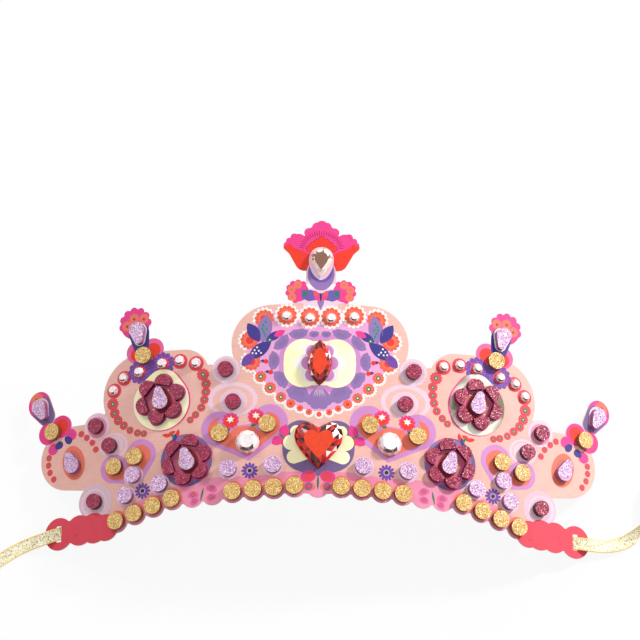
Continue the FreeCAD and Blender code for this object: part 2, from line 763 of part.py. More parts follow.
def ribbon(side, coil):
    """Flat ribbon swept level along its route, as far as the coil that it runs into."""
    points = [Vector(*point) for point in RIBBON_ROUTES[side]]
    path, radii = rounded_path(points)
    run = (points[1] - points[0]).normalize()
    breadth = run.cross(Vector(0, 0, 1)).normalize() * (size("ribbon_width") / 2)
    rise = breadth.cross(run).normalize() * (size("ribbon_thickness") / 2)
    corners = [
        points[0] + breadth * x + rise * y
        for x, y in ((-1, -1), (1, -1), (1, 1), (-1, 1), (-1, -1))
    ]
    sweep = Part.BRepOffsetAPI.MakePipeShell(path)
    sweep.setBiNormalMode(Vector(0, 0, 1))
    sweep.add(Part.makePolygon(corners))
    sweep.build()
    sweep.makeSolid()
    strip = sweep.shape()
    section = size("ribbon_width") * size("ribbon_thickness")
    print(f"ribbon_{side}: radii {[round(radius, 1) for radius in radii]},",
          f"volume over section times length {strip.Volume / (section * path.Length):.3f}")
    return keep(shaped(f"ribbon_{side}", strip.cut(coil.Shape)), f"ribbon_{side}")


def ribbon_coil(side):
    """Outer shape of the ribbon's put-away turns, which stand on edge on the table."""
    label = f"ribbon_coil_{side}"
    outer = doc.addObject("Part::Cylinder", f"{label}_outer")
    outer.setExpression("Radius", "Sizes.ribbon_coil_width / 2")
    inner = doc.addObject("Part::Cylinder", f"{label}_inner")
    inner.setExpression("Radius", "Sizes.ribbon_coil_width / 2 - Sizes.ribbon_coil_wall")
    for wall in (outer, inner):
        wall.setExpression("Height", "Sizes.ribbon_width")
        wall.Placement.Base = COIL_PLACES[side]
    coil = doc.addObject("Part::Cut", label)
    coil.Base, coil.Tool = outer, inner
    doc.recompute()
    return keep(coil, label)


for ribbon_side, _ in SIDES:
    ribbon(ribbon_side, ribbon_coil(ribbon_side))


doc.recompute()
for thing in doc.Objects:
    if "Invalid" in thing.State or "Error" in thing.State:
        raise RuntimeError(f"{thing.Label} failed: {thing.State}")
    if hasattr(thing, "Shape") and not thing.Shape.Solids:
        raise RuntimeError(f"{thing.Label} is empty")
for thing in nodes:
    if thing.Shape.isNull() or not thing.Shape.isValid():
        raise RuntimeError(f"{thing.Label} has no valid shape")

os.makedirs("parts", exist_ok=True)
for thing in nodes:
    thing.Shape.exportStep(os.path.join("parts", f"{thing.Label}.step"))
    print(thing.Label, len(thing.Shape.Solids), round(thing.Shape.Volume, 1))
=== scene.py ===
# %% [markdown]
# # A paper crown
# A child's tiara of printed card, curled and lying face up, trimmed with glitter foam, gems, foil and a
# ribbon tie at each end. The solids come from the CAD frame. This lesson adds what a flat solid can't
# show: the coloured print, the glitter, the cut facets and the ribbon's weave.

# %% Load the frame
import math
import random

import bmesh
import bpy
from mathutils import Matrix, Vector


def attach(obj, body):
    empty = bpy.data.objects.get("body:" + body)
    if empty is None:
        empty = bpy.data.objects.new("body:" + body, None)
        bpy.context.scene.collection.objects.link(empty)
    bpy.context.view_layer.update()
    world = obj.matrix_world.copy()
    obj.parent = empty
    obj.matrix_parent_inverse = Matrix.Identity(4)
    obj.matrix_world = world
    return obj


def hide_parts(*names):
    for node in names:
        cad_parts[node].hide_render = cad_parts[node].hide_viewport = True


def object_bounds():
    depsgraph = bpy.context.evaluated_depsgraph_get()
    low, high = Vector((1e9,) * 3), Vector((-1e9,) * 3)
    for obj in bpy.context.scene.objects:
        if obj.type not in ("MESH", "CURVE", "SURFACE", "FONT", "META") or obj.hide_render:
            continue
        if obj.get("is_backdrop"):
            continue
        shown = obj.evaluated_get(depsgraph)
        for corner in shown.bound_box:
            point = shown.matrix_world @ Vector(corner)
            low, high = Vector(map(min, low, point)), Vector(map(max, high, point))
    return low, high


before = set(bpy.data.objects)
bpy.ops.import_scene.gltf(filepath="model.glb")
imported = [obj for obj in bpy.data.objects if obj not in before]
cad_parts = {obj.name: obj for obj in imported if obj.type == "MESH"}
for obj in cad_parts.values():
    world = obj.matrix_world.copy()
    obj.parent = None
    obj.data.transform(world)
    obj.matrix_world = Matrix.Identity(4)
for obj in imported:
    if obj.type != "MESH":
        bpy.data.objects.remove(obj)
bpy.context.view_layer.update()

MM = 0.001
print("solids loaded:", len(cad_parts))

# %% [markdown]
# ## Where things sit
# The card is a piece of a tube wall. A place on it is easiest to give as a maker would measure it on the
# flat print: millimetres across from the middle and millimetres up. One function curls such a place on to
# the card, leans it as the card lies on the table and turns it to metres. Print, gems and foam all use it.

# %% The curled card
CURL_RADIUS = 235
LEAN = Matrix.Rotation(math.radians(6.034), 3, "X")
LIE = Vector((0, -57.2207, 35.8264))


def on_card(across, up, lift=0.0):
    """Place in metres of a point on the card's printed face, lifted square to it."""
    angle = across / CURL_RADIUS
    reach = CURL_RADIUS + lift
    spot = Vector((reach * math.sin(angle), up, reach * math.cos(angle) - CURL_RADIUS))
    return (LEAN @ spot + LIE) * MM


def pick_only(piece):
    """Selects one object and makes it the active one."""
    bpy.ops.object.select_all(action="DESELECT")
    piece.select_set(True)
    bpy.context.view_layer.objects.active = piece


print("middle of the card:", tuple(round(v, 4) for v in on_card(0, 60)))

# %% [markdown]
# ## Camera
# The photograph looks down on the crown from its head side, far away through a long lens, so the picture
# has hardly any perspective. The camera is set first, because everything later is judged through it.
# It is rolled by under a degree, as the photograph is.

# %% Camera
EYE = Vector((-0.0002, -0.57512, 1.52008))
FRAME_UP = Vector((0, 0.93337, 0.35892))
PICTURE_RAISE = 0.0309
AIM = Vector((-0.0002, -0.00085, 0.02669)) + FRAME_UP * PICTURE_RAISE
HALF_WIDTH, DISTANCE = 0.144, 1.6
FIELD = 2 * math.atan(HALF_WIDTH / DISTANCE)
ROLL = math.radians(0.9)

forward = (AIM - EYE).normalized()
right = forward.cross(FRAME_UP).normalized()
upward = right.cross(forward)
rolled_right = right * math.cos(ROLL) + upward * math.sin(ROLL)
rolled_up = upward * math.cos(ROLL) - right * math.sin(ROLL)
bpy.ops.object.camera_add(location=EYE)
camera = bpy.context.object
camera.name = "camera"
axes = Matrix((rolled_right, rolled_up, -forward)).transposed()
camera.matrix_world = Matrix.Translation(EYE) @ axes.to_4x4()
camera.data.sensor_fit = "HORIZONTAL"
camera.data.angle = FIELD
camera.data.clip_end = 20
bpy.context.scene.camera = camera
print("camera field:", round(math.degrees(FIELD), 2), "degrees")

# %% [markdown]
# ## Colours and shared effects
# Colours are written as they look on a screen and turned to the linear values that shaders want. Two
# effects are used by many materials, so each is a node group: paper grain and foam glitter. A group only
# gives values that vary; each material keeps its own shader.

# %% Colour and node helpers
def paint(red, green, blue):
    """A screen colour as linear red, green, blue and alpha."""
    def linear(value):
        return value / 12.92 if value <= 0.04045 else ((value + 0.055) / 1.055) ** 2.4
    return (linear(red), linear(green), linear(blue), 1.0)


def new_group(name, inputs, outputs):
    """An empty node group with its sockets, its input node and its output node."""
    group = bpy.data.node_groups.new(name, "ShaderNodeTree")
    for label, kind, value in inputs:
        socket = group.interface.new_socket(label, in_out="INPUT", socket_type=kind)
        socket.default_value = value
    for label, kind in outputs:
        group.interface.new_socket(label, in_out="OUTPUT", socket_type=kind)
    return group, group.nodes.new("NodeGroupInput"), group.nodes.new("NodeGroupOutput")


def feed(tree, socket, value):
    """Links another socket to this one, or sets a plain value on it."""
    if isinstance(value, bpy.types.NodeSocket):
        tree.links.new(value, socket)
    else:
        socket.default_value = value


def node(tree, kind, feeds=None, **settings):
    """A new node with its settings; feeds says what goes into which input."""
    made = tree.nodes.new(kind)
    for key, value in settings.items():
        setattr(made, key, value)
    for key, value in (feeds or {}).items():
        feed(tree, made.inputs[key], value)
    return made


def mixed(tree, factor, first, second, blend="MIX"):
    """Mixes two colours; each argument is a socket or a plain value. Gives the result's socket."""
    mix = node(tree, "ShaderNodeMix", {0: factor, 6: first, 7: second}, data_type="RGBA", blend_type=blend)
    return mix.outputs[2]


def stepped(tree, value, low=0.0, high=1.0, start=0.0, end=1.0):
    """A value stretched so that low becomes the start and high the end, clamped."""
    feeds = {"Value": value, "From Min": low, "From Max": high, "To Min": start, "To Max": end}
    return node(tree, "ShaderNodeMapRange", feeds, clamp=True).outputs["Result"]


def noise(tree, coordinates, scale, detail=2.0):
    """Noise texture read at the given coordinates."""
    feeds = {"Vector": coordinates, "Scale": scale, "Detail": detail}
    return node(tree, "ShaderNodeTexNoise", feeds).outputs["Fac"]


# %% Paper grain
paper, paper_in, paper_out = new_group(
    "paper_grain",
    [("Ink", "NodeSocketColor", (0.8, 0.8, 0.8, 1)), ("Fibre", "NodeSocketFloat", 0.5)],
    [("Color", "NodeSocketColor"), ("Height", "NodeSocketFloat")],
)
WHITE = (1.0, 1.0, 1.0, 1)
spot = node(paper, "ShaderNodeTexCoord").outputs["Object"]
tooth = noise(paper, spot, 2600, 3.0)
cloud = noise(paper, spot, 170)
stretch = node(paper, "ShaderNodeMapping", {"Vector": spot, "Scale": (260, 1900, 260)})
fibre = noise(paper, stretch.outputs["Vector"], 1.0)
worn = mixed(paper, stepped(paper, tooth, 0.25, 0.75), (0.90, 0.885, 0.88, 1), WHITE)
washed = mixed(paper, stepped(paper, cloud, 0.3, 0.7), (0.955, 0.94, 0.94, 1), WHITE)
combed = mixed(paper, stepped(paper, fibre, 0.35, 0.65), (0.94, 0.93, 0.92, 1), WHITE)
tinted = mixed(paper, 1.0, paper_in.outputs["Ink"], worn, "MULTIPLY")
tinted = mixed(paper, 1.0, tinted, washed, "MULTIPLY")
tinted = mixed(paper, paper_in.outputs["Fibre"], tinted, mixed(paper, 1.0, tinted, combed, "MULTIPLY"))
feed(paper, paper_out.inputs["Color"], tinted)
feed(paper, paper_out.inputs["Height"], tooth)
print("group made:", paper.name)

# %% Foam glitter
FOAM_COLOURS = ("Base", "Deep", "Bright", "Side")
glitter, glitter_in, glitter_out = new_group(
    "foam_glitter",
    [(label, "NodeSocketColor", (0.5, 0.5, 0.5, 1)) for label in FOAM_COLOURS],
    [("Color", "NodeSocketColor"), ("Roughness", "NodeSocketFloat"), ("Normal", "NodeSocketVector")],
)
base, deep, bright, shaded_cut_side = (glitter_in.outputs[label] for label in FOAM_COLOURS)
coordinates = node(glitter, "ShaderNodeTexCoord").outputs
flakes = node(glitter, "ShaderNodeTexVoronoi", {"Vector": coordinates["Object"], "Scale": 2900})
chance = node(glitter, "ShaderNodeSeparateColor", {"Color": flakes.outputs["Color"]}).outputs
clumps = noise(glitter, coordinates["Object"], 1300)
speckled = mixed(glitter, stepped(glitter, chance["Red"], 0.42, 0.30), base, deep)
speckled = mixed(glitter, stepped(glitter, chance["Green"], 0.74, 0.86), speckled, bright)
speckled = mixed(glitter, stepped(glitter, clumps, 0.60, 0.74), speckled, deep)
# Faces that point sideways, the foam's walls, take the cut side's colour, darker than the foam: painted
# shade.
facing = node(glitter, "ShaderNodeSeparateXYZ", {"Vector": coordinates["Normal"]})
top_mask = stepped(glitter, facing.outputs["Z"], 0.62, 0.70)
feed(glitter, glitter_out.inputs["Color"], mixed(glitter, top_mask, shaded_cut_side, speckled))
feed(glitter, glitter_out.inputs["Roughness"], stepped(glitter, chance["Blue"], start=0.62, end=0.28))

# Each flake's own random colour, moved round zero and made small, tips the surface's normal.
HALFWAY = (0.5, 0.5, 0.5)
surface = node(glitter, "ShaderNodeNewGeometry").outputs["Normal"]
tipped = flakes.outputs["Color"]
for operation, extra in (
    ("SUBTRACT", {1: HALFWAY}), ("SCALE", {"Scale": 0.55}), ("ADD", {1: surface}), ("NORMALIZE", {}),
):
    step = node(glitter, "ShaderNodeVectorMath", {0: tipped, **extra}, operation=operation)
    tipped = step.outputs["Vector"]
feed(glitter, glitter_out.inputs["Normal"], tipped)
print("group made:", glitter.name)

# %% [markdown]
# ## Materials
# Printed card is matt, with a faint tooth. Foam glitter is a dense layer of tiny flakes, each tilted its
# own way, on a foam whose cut side is plain, darkened as painted shade. The gems are moulded acrylic with a
# foil back: their facets show patches of bright and dark, painted highlights and painted shade kept as a
# colour on each facet. Foil is thin and smooth; its colour is a painted reflection.

# %% Material makers
def material(name, roughness=0.5, metallic=0.0, specular=0.5, coat=0.0):
    """A material with one shader, its plain values set on the shader's own sockets."""
    made = bpy.data.materials.new(name)
    made.use_nodes = True
    shader = made.node_tree.nodes["Principled BSDF"]
    shader.inputs["Roughness"].default_value = roughness
    shader.inputs["Metallic"].default_value = metallic
    shader.inputs["Specular IOR Level"].default_value = specular
    shader.inputs["Coat Weight"].default_value = coat
    return made, made.node_tree, shader


def bumped(tree, shader, height, distance, strength):
    """Feeds a height to the shader's normal."""
    bump = node(tree, "ShaderNodeBump", {"Height": height, "Distance": distance, "Strength": strength})
    feed(tree, shader.inputs["Normal"], bump.outputs["Normal"])


def grained(tree, colour, fibre):
    """Paper grain in one colour."""
    return node(tree, "ShaderNodeGroup", {"Ink": paint(*colour), "Fibre": fibre}, node_tree=paper)


def ink(name, colour):
    """Printed paper in one ink."""
    made, tree, shader = material(f"ink_{name}", roughness=0.58, specular=0.35)
    grain = grained(tree, colour, 0.5)
    feed(tree, shader.inputs["Base Color"], grain.outputs["Color"])
    bumped(tree, shader, grain.outputs["Height"], 0.00004, 0.35)
    return made


def foam(name, *colours):
    """Glitter foam; the colours are its base, deep and bright flakes and its cut side, darkened as painted
    shade.
    """
    made, tree, shader = material(name, specular=0.6)
    feeds = {label: paint(*colour) for label, colour in zip(FOAM_COLOURS, colours)}
    flake = node(tree, "ShaderNodeGroup", feeds, node_tree=glitter).outputs
    for label, outlet in (("Base Color", "Color"), ("Roughness", "Roughness"), ("Normal", "Normal")):
        feed(tree, shader.inputs[label], flake[outlet])
    return made


# The last colour of each foam, its cut side, is darker than the foam itself: painted shade on the walls.
GOLD = foam("gold_foam", (0.85, 0.68, 0.38), (0.71, 0.52, 0.26), (0.95, 0.83, 0.55), (0.52, 0.29, 0.14))
LILAC = foam("lilac_foam", (0.82, 0.66, 0.80), (0.66, 0.46, 0.66), (0.94, 0.84, 0.92), (0.60, 0.33, 0.48))
CRIMSON = foam("crimson_foam", (0.57, 0.02, 0.23), (0.36, 0.0, 0.13), (0.76, 0.11, 0.35), (0.26, 0.01, 0.08))
print("foam materials:", GOLD.name, LILAC.name, CRIMSON.name)

# %% Card and foil materials
card_material, tree, shader = material("printed_card", roughness=0.6, specular=0.3)
face = grained(tree, (0.955, 0.745, 0.70), 1.0)
core = grained(tree, (0.93, 0.91, 0.88), 1.0)
normal = node(tree, "ShaderNodeTexCoord").outputs["Normal"]
facing = node(tree, "ShaderNodeSeparateXYZ", {"Vector": normal})
printed = stepped(tree, facing.outputs["Z"], 0.55, 0.60)
feed(tree, shader.inputs["Base Color"], mixed(tree, printed, core.outputs["Color"], face.outputs["Color"]))
bumped(tree, shader, face.outputs["Height"], 0.00005, 0.4)


def foil(name, light, shade, scale, metallic):
    """Thin foil, a little uneven from being rubbed down; its colour is a painted reflection in light and
    dark streaks.
    """
    made, tree, shader = material(name, roughness=0.3, metallic=metallic)
    place = node(tree, "ShaderNodeTexCoord").outputs["Object"]
    reflection_streaks = stepped(tree, noise(tree, place, scale, 1.0), 0.44, 0.56)
    feed(tree, shader.inputs["Base Color"], mixed(tree, reflection_streaks, paint(*shade), paint(*light)))
    bumped(tree, shader, noise(tree, place, 900, 1.0), 0.00003, 0.25)
    return made


# One gold foil in two painted reflections: bright cream on most pieces, dark grey on the right disc.
CREAM_FOIL_BRIGHT_REFLECTION = foil("cream_foil", (1.0, 0.985, 0.83), (1.0, 0.965, 0.76), 60, 0.0)
FOIL_PAINTED_DARK_REFLECTION = foil("silver_foil", (0.90, 0.89, 0.82), (0.47, 0.44, 0.36), 62, 0.35)
print("card and foil materials made")

# %% [markdown]
# ## Dress the solids
# The foam shapes and foil leaves are already the right shape, so they stay and only get their material.

# %% Dress the solids
def dress(start, finish):
    """Gives every CAD node whose name starts so a material."""
    count = 0
    for label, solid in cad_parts.items():
        if label.startswith(start):
            for place in solid.material_slots:
                place.material = finish
            count += 1
    return count


print("card:", dress("printed_card", card_material))
print("gold:", dress("gold_dot", GOLD))
print("lilac:", dress("lilac_dots", LILAC) + dress("drop_", LILAC))
print("crimson:", dress("crimson_dot", CRIMSON) + dress("petals_", CRIMSON))
# The right disc gets the foil with the dark painted reflection.
print("foil:", dress("foil_", CREAM_FOIL_BRIGHT_REFLECTION), "of them silver:", dress("foil_disc_right", FOIL_PAINTED_DARK_REFLECTION))

# %% [markdown]
# ## The ribbon ties
# A flat gilt ribbon is threaded through the slot in each end tab. It lies over the tab's end, comes down
# to the table and runs out of the picture, where its spare length is rolled up on edge. A cord's middle
# line is a smooth NURBS curve through few points; the ribbon is a flat strip that follows it. It twists
# from lying flat to standing on edge where it joins its roll.

# %% Ribbon routes
RIBBON_WIDTH = 0.006
RIBBON_THICK = 0.0003
ROUTES = {
    "left": [
        (-0.1078, -0.0618, 0.0040), (-0.1162, -0.0640, 0.00415), (-0.1236, -0.0665, 0.0031),
        (-0.1302, -0.0684, 0.0009), (-0.1368, -0.0718, 0.00035), (-0.1438, -0.0769, 0.0003),
        (-0.1520, -0.0810, 0.0006), (-0.1610, -0.0832, 0.0014), (-0.1705, -0.0836, 0.0026),
        (-0.1785, -0.0824, 0.0030),
    ],
    "right": [
        (0.1076, -0.0649, 0.0040), (0.1162, -0.0644, 0.00415), (0.1244, -0.0654, 0.0031),
        (0.1316, -0.0652, 0.0013), (0.1389, -0.0629, 0.0006), (0.1451, -0.0581, 0.0008),
        (0.1492, -0.0515, 0.0018), (0.1505, -0.0438, 0.0030),
    ],
}
# Roll: centre, angle in degrees at which the ribbon joins it, turns. It winds clockwise and inwards.
ROLLS = {"left": ((-0.182, -0.048), -100, 1.30), "right": ((0.182, -0.048), 160, 1.46)}
ROLL_OUTER = 0.0332
ROLL_INNER = 0.0275
ROLL_MIDDLE_UP = 0.0031
WANDER = 0.0007


def ribbon_line(side):
    """Points of the ribbon's middle line."""
    (x, y), first, turns = ROLLS[side]
    points = [Vector(place) for place in ROUTES[side]]
    steps = round(turns * 16)
    for step in range(steps + 1):
        share = step / steps
        angle = math.radians(first - 360 * turns * share)
        wander = WANDER * math.sin(5 * angle)
        radius = ROLL_OUTER + (ROLL_INNER - ROLL_OUTER) * share + wander * share
        points.append(Vector((x + radius * math.cos(angle), y + radius * math.sin(angle), ROLL_MIDDLE_UP)))
    data = bpy.data.curves.new(f"ribbon_line_{side}", "CURVE")
    data.dimensions = "3D"
    spline = data.splines.new("NURBS")
    spline.points.add(len(points) - 1)
    for point, place in zip(spline.points, points):
        point.co = (*place, 1.0)
    spline.order_u = 3
    spline.use_endpoint_u = True
    spline.resolution_u = 10
    holder = bpy.data.objects.new(f"ribbon_line_{side}", data)
    traced = bpy.data.meshes.new_from_object(holder)
    line = [vertex.co.copy() for vertex in traced.vertices]
    bpy.data.objects.remove(holder)
    bpy.data.meshes.remove(traced)
    return line


def ribbon_strip(side, finish):
    """A closed flat strip along the ribbon's line, with a corded selvedge and a UV map along it."""
    line = ribbon_line(side)
    flat_until, upright_from = {"left": (0.043, 0.066), "right": (0.028, 0.050)}[side]
    columns = (-0.5, -0.47, -0.41, -0.2, 0.0, 0.2, 0.41, 0.47, 0.5)
    mesh = bmesh.new()
    uv = mesh.loops.layers.uv.new("weave")
    rings, travelled, along = [], [], 0.0
    for index, spot in enumerate(line):
        before, after = line[max(index - 1, 0)], line[min(index + 1, len(line) - 1)]
        heading = (after - before).normalized()
        if index:
            along += (spot - line[index - 1]).length
        share = min(max((along - flat_until) / (upright_from - flat_until), 0.0), 1.0)
        turn = math.pi / 2 * share * share * (3 - 2 * share)
        level = Vector((-heading.y, heading.x, 0)).normalized()
        rise = heading.cross(level) * -1
        if rise.z < 0:
            rise = -rise
        breadth = level * math.cos(turn) + rise * math.sin(turn)
        depth = heading.cross(breadth).normalized()
        ring = []
        for face in (1, -1):
            for column in columns if face > 0 else reversed(columns):
                swell = 1.5 if abs(column) > 0.45 and abs(column) < 0.5 else 1.0
                pinch = 0.5 if abs(column) == 0.5 else swell
                offset = breadth * (column * RIBBON_WIDTH) + depth * (face * pinch * RIBBON_THICK / 2)
                ring.append(mesh.verts.new(spot + offset))
        rings.append(ring)
        travelled.append(along)
    count = len(rings[0])
    across = list(columns) + list(reversed(columns))
    for first, second, start, end in zip(rings, rings[1:], travelled, travelled[1:]):
        for place in range(count):
            after = (place + 1) % count
            made = mesh.faces.new((first[place], first[after], second[after], second[place]))
            made.smooth = True
            for loop, (u, v) in zip(made.loops, (
                (across[place], start), (across[after], start), (across[after], end), (across[place], end),
            )):
                loop[uv].uv = (u + 0.5, v / RIBBON_WIDTH)
    mesh.faces.new(list(reversed(rings[0])))
    mesh.faces.new(rings[-1])
    bmesh.ops.recalc_face_normals(mesh, faces=mesh.faces)
    data = bpy.data.meshes.new(f"gilt_ribbon_{side}")
    mesh.to_mesh(data)
    mesh.free()
    data.materials.append(finish)
    strip = bpy.data.objects.new(f"gilt_ribbon_{side}", data)
    bpy.context.collection.objects.link(strip)
    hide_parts(f"ribbon_{side}", f"ribbon_coil_{side}")
    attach(strip, "root")
    print(f"ribbon {side}: {along:.3f} m along its middle")
    return strip


# %% Ribbon weave
THREADS = (9, 16, 1)
ribbon_finish, tree, shader = material("gilt_weave", roughness=0.42, metallic=0.25, specular=0.6)
weave_uv = node(tree, "ShaderNodeUVMap", uv_map="weave").outputs["UV"]
threads = node(tree, "ShaderNodeMapping", {"Vector": weave_uv, "Scale": THREADS}).outputs["Vector"]
tinsel = node(tree, "ShaderNodeTexVoronoi", {"Vector": threads, "Scale": 1.0})
glint = node(tree, "ShaderNodeSeparateColor", {"Color": tinsel.outputs["Color"]}).outputs
body = mixed(tree, stepped(tree, glint["Red"], 0.35, 0.2), paint(0.95, 0.91, 0.74), paint(0.70, 0.60, 0.36))
# Some threads turn near white: painted glints on the gilt; the other two golds differ in tone at random.
body = mixed(tree, stepped(tree, glint["Green"], 0.7, 0.8), body, paint(1.0, 0.99, 0.93))
split = node(tree, "ShaderNodeSeparateXYZ", {"Vector": weave_uv})
off_centre = node(tree, "ShaderNodeMath", {0: split.outputs["X"], 1: 0.5}, operation="SUBTRACT")
from_centre = node(tree, "ShaderNodeMath", {0: off_centre.outputs["Value"]}, operation="ABSOLUTE")
selvedge = stepped(tree, from_centre.outputs["Value"], 0.40, 0.43)
gauze = stepped(tree, glint["Blue"], start=0.62)
cover = node(tree, "ShaderNodeMath", {0: gauze, 1: selvedge}, operation="MAXIMUM")
feed(tree, shader.inputs["Base Color"], mixed(tree, selvedge, body, paint(0.90, 0.78, 0.45)))
feed(tree, shader.inputs["Alpha"], cover.outputs["Value"])
bumped(tree, shader, tinsel.outputs["Distance"], 0.0001, 0.6)
for side in ("left", "right"):
    ribbon_strip(side, ribbon_finish)

# %% [markdown]
# ## Shapes of the print
# The artwork is many small flat shapes: dots, petals, leaves, scalloped flowers. Real ink has no height,
# but shapes that lie a few hundredths of a millimetre apart keep crisp edges from any side, where one
# painted texture would blur. Each kind of shape starts as one circle whose corners are moved in or out.

# %% Motifs
def wavy(bumps, depth):
    """Edge with round bumps."""
    return lambda angle: 1 - depth + depth * abs(math.cos(bumps * angle / 2)) ** 0.7


def toothed(points, depth):
    """Edge with points."""
    return lambda angle: 1 - depth + depth * (1 - abs(math.sin(points * angle / 2)) ** 0.7)


def motif(name, corners, reach=None, bend=None):
    """One flat motif, made from a circle of radius 1 whose corners are moved."""
    bpy.ops.object.select_all(action="DESELECT")
    bpy.ops.mesh.primitive_circle_add(vertices=corners, radius=1, fill_type="NGON")
    made = bpy.context.object
    made.name = f"motif_{name}"
    for corner in made.data.vertices:
        angle = math.atan2(corner.co.y, corner.co.x)
        if reach:
            corner.co *= reach(angle)
        if bend:
            corner.co.x, corner.co.y = bend(corner.co.x, corner.co.y, angle)
    return made


def fan_bend(x, y, angle):
    """A petal with a broad foot and a frilled top."""
    frill = 1 + 0.14 * (abs(math.sin(4 * angle)) - 0.5) * (y > -0.2)
    return x * (0.72 + 0.20 * (y + 1)) * frill, y * frill


MOTIFS = {
    "disc": motif("disc", 28),
    "frill": motif("frill", 72, wavy(12, 0.16)),
    "lace": motif("lace", 96, wavy(16, 0.18)),
    "daisy": motif("daisy", 72, wavy(12, 0.42)),
    "bloom": motif("bloom", 48, wavy(8, 0.20)),
    "star": motif("star", 24, toothed(6, 0.48)),
    "burst": motif("burst", 64, toothed(16, 0.35)),
    "leaf": motif("leaf", 24, bend=lambda x, y, angle: (x * abs(x), y)),
    "egg": motif("egg", 28, bend=lambda x, y, angle: (x * (1 - 0.2 * y), y)),
    "fan": motif("fan", 56, bend=fan_bend),
    "seed": motif("seed", 8),
}
print("motifs:", len(MOTIFS))

# %% [markdown]
# ## Inks
# Each of the print's two dozen colours is a material with the paper's own grain in it.

# %% Inks
INKS = {
    "pink_band": (0.95, 0.58, 0.70),
    "pale": (0.955, 0.81, 0.88),
    "mist": (0.89, 0.76, 0.82),
    "salmon": (0.955, 0.745, 0.70),
    "field": (0.93, 0.66, 0.84),
    "lilac": (0.83, 0.56, 0.81),
    "purple": (0.58, 0.46, 0.70),
    "dusk": (0.47, 0.38, 0.58),
    "violet": (0.44, 0.27, 0.64),
    "indigo": (0.24, 0.20, 0.54),
    "banner": (0.43, 0.35, 0.68),
    "coral": (0.94, 0.47, 0.38),
    "poppy": (0.94, 0.37, 0.24),
    "red": (0.93, 0.21, 0.13),
    "rose": (0.89, 0.26, 0.33),
    "tab_red": (0.89, 0.27, 0.35),
    "magenta": (0.93, 0.24, 0.56),
    "pink": (0.92, 0.40, 0.64),
    "wine": (0.68, 0.08, 0.28),
    "blush": (0.82, 0.45, 0.42),
    "maroon": (0.60, 0.10, 0.12),
    "white": (0.985, 0.965, 0.955),
    "green": (0.20, 0.47, 0.30),
    "teal": (0.13, 0.55, 0.50),
    "ink_dark": (0.16, 0.12, 0.20),
}
INK_ORDER = list(INKS)
ink_materials = [ink(name, colour) for name, colour in INKS.items()]
print("inks:", len(ink_materials))

# %% [markdown]
# ## Stamping
# A stamp takes a motif, squeezes and turns it, and sets it down on the flat print at a level: a low level
# lies under a high one. Nearly all of the print is mirrored, so a stamp gives its right-hand place and the
# left one follows. Larger areas are hulls round a few discs, as the die-cut outline itself is.

# %% Stamp helpers
LEVEL_STEP = 0.014
stamps = []


def stamp(colour, level, shape, across, up, wide, high=None, turn=0.0, both=None):
    """Sets a motif down, on both sides unless it is in the middle; wide and high are half its size."""
    points = [tuple(v.co.xy) for v in MOTIFS[shape].data.vertices]
    angle = math.radians(turn)
    high = wide if high is None else high
    placed = [
        (
            across + x * wide * math.cos(angle) - y * high * math.sin(angle),
            up + x * wide * math.sin(angle) + y * high * math.cos(angle),
        )
        for x, y in points
    ]
    patch(colour, level, placed, across != 0 if both is None else both)


def stamp_rows(shape, *rows):
    """Stamps of one shape; a row gives colour, level, across, up, wide and, if need be, high and turn."""
    for colour, level, *place in rows:
        stamp(colour, level, shape, *place)


def patch(colour, level, corners, both=True):
    """Sets down any flat outline, and its mirror image if it stands on both sides."""
    stamps.append((colour, level, corners))
    if both:
        stamps.append((colour, level, [(-x, y) for x, y in reversed(corners)]))


def hull(colour, level, discs, both=True, steps=28):
    """The outline of a string stretched round several discs, each given as (across, up, radius)."""
    cloud = [
        (x + r * math.cos(math.tau * k / steps), y + r * math.sin(math.tau * k / steps))
        for x, y, r in discs for k in range(steps)
    ]
    cloud = sorted(set(cloud))
    def half(points):
        chain = []
        for point in points:
            while len(chain) > 1 and (
                (chain[-1][0] - chain[-2][0]) * (point[1] - chain[-2][1])
                - (chain[-1][1] - chain[-2][1]) * (point[0] - chain[-2][0])
            ) <= 0:
                chain.pop()
            chain.append(point)
        return chain[:-1]
    patch(colour, level, half(cloud) + half(cloud[::-1]), both)


def heart(colour, level, lobes, tip):
    """Two round lobes drawn down to one tip."""
    for lobe in lobes:
        hull(colour, level, [lobe, (*tip, 0.3)])
    hull(colour, level, [(x, y, 0.3) for x, y, _ in lobes] + [(*tip, 0.3)])


def edge_places():
    """Middles of the lower edge's scallops on the right, outwards."""
    across, up, places = 10.3, 6.2, []
    for count in range(10):
        places.append((across, up))
        fall = math.radians(4.8 if count < 6 else 18.5)
        across += 9.2 * math.cos(fall)
        up -= 9.2 * math.sin(fall)
    return places


EDGE = edge_places()

# %% Lower edge, pads and end tabs
band_top = [
    (0, 13.2), (14.7, 12.9), (29.1, 10.9), (43.2, 11.0), (57.5, 9.3), (75, 4.9), (88, -1.5), (93, -5.0),
]
band_foot = [(across, up - 2.8) for across, up in EDGE]
patch("pink_band", 1, band_foot + band_top[::-1] + [(0, 2.6)])
for across, up in [(0, EDGE[0][1])] + EDGE:
    stamp("pink_band", 1.3, "disc", across, up, 4.93)
for across, up in EDGE[:4] + EDGE[6:]:
    stamp("coral", 2, "disc", across, up + 0.75, 4.35)
stamp_rows(
    "disc", ("mist", 3, 102.7, 2.7, 8.42), ("pale", 3.5, 103.6, 2.4, 6.6), ("mist", 3.8, 103.3, 2.4, 5.4),
    ("pale", 3, 103.2, 37.6, 6.35), ("pink_band", 3.3, 103.0, 37.2, 4.9), ("pale", 3, 42.1, 60.1, 6.35),
    ("mist", 3.3, 42.3, 60.3, 5.0),
)
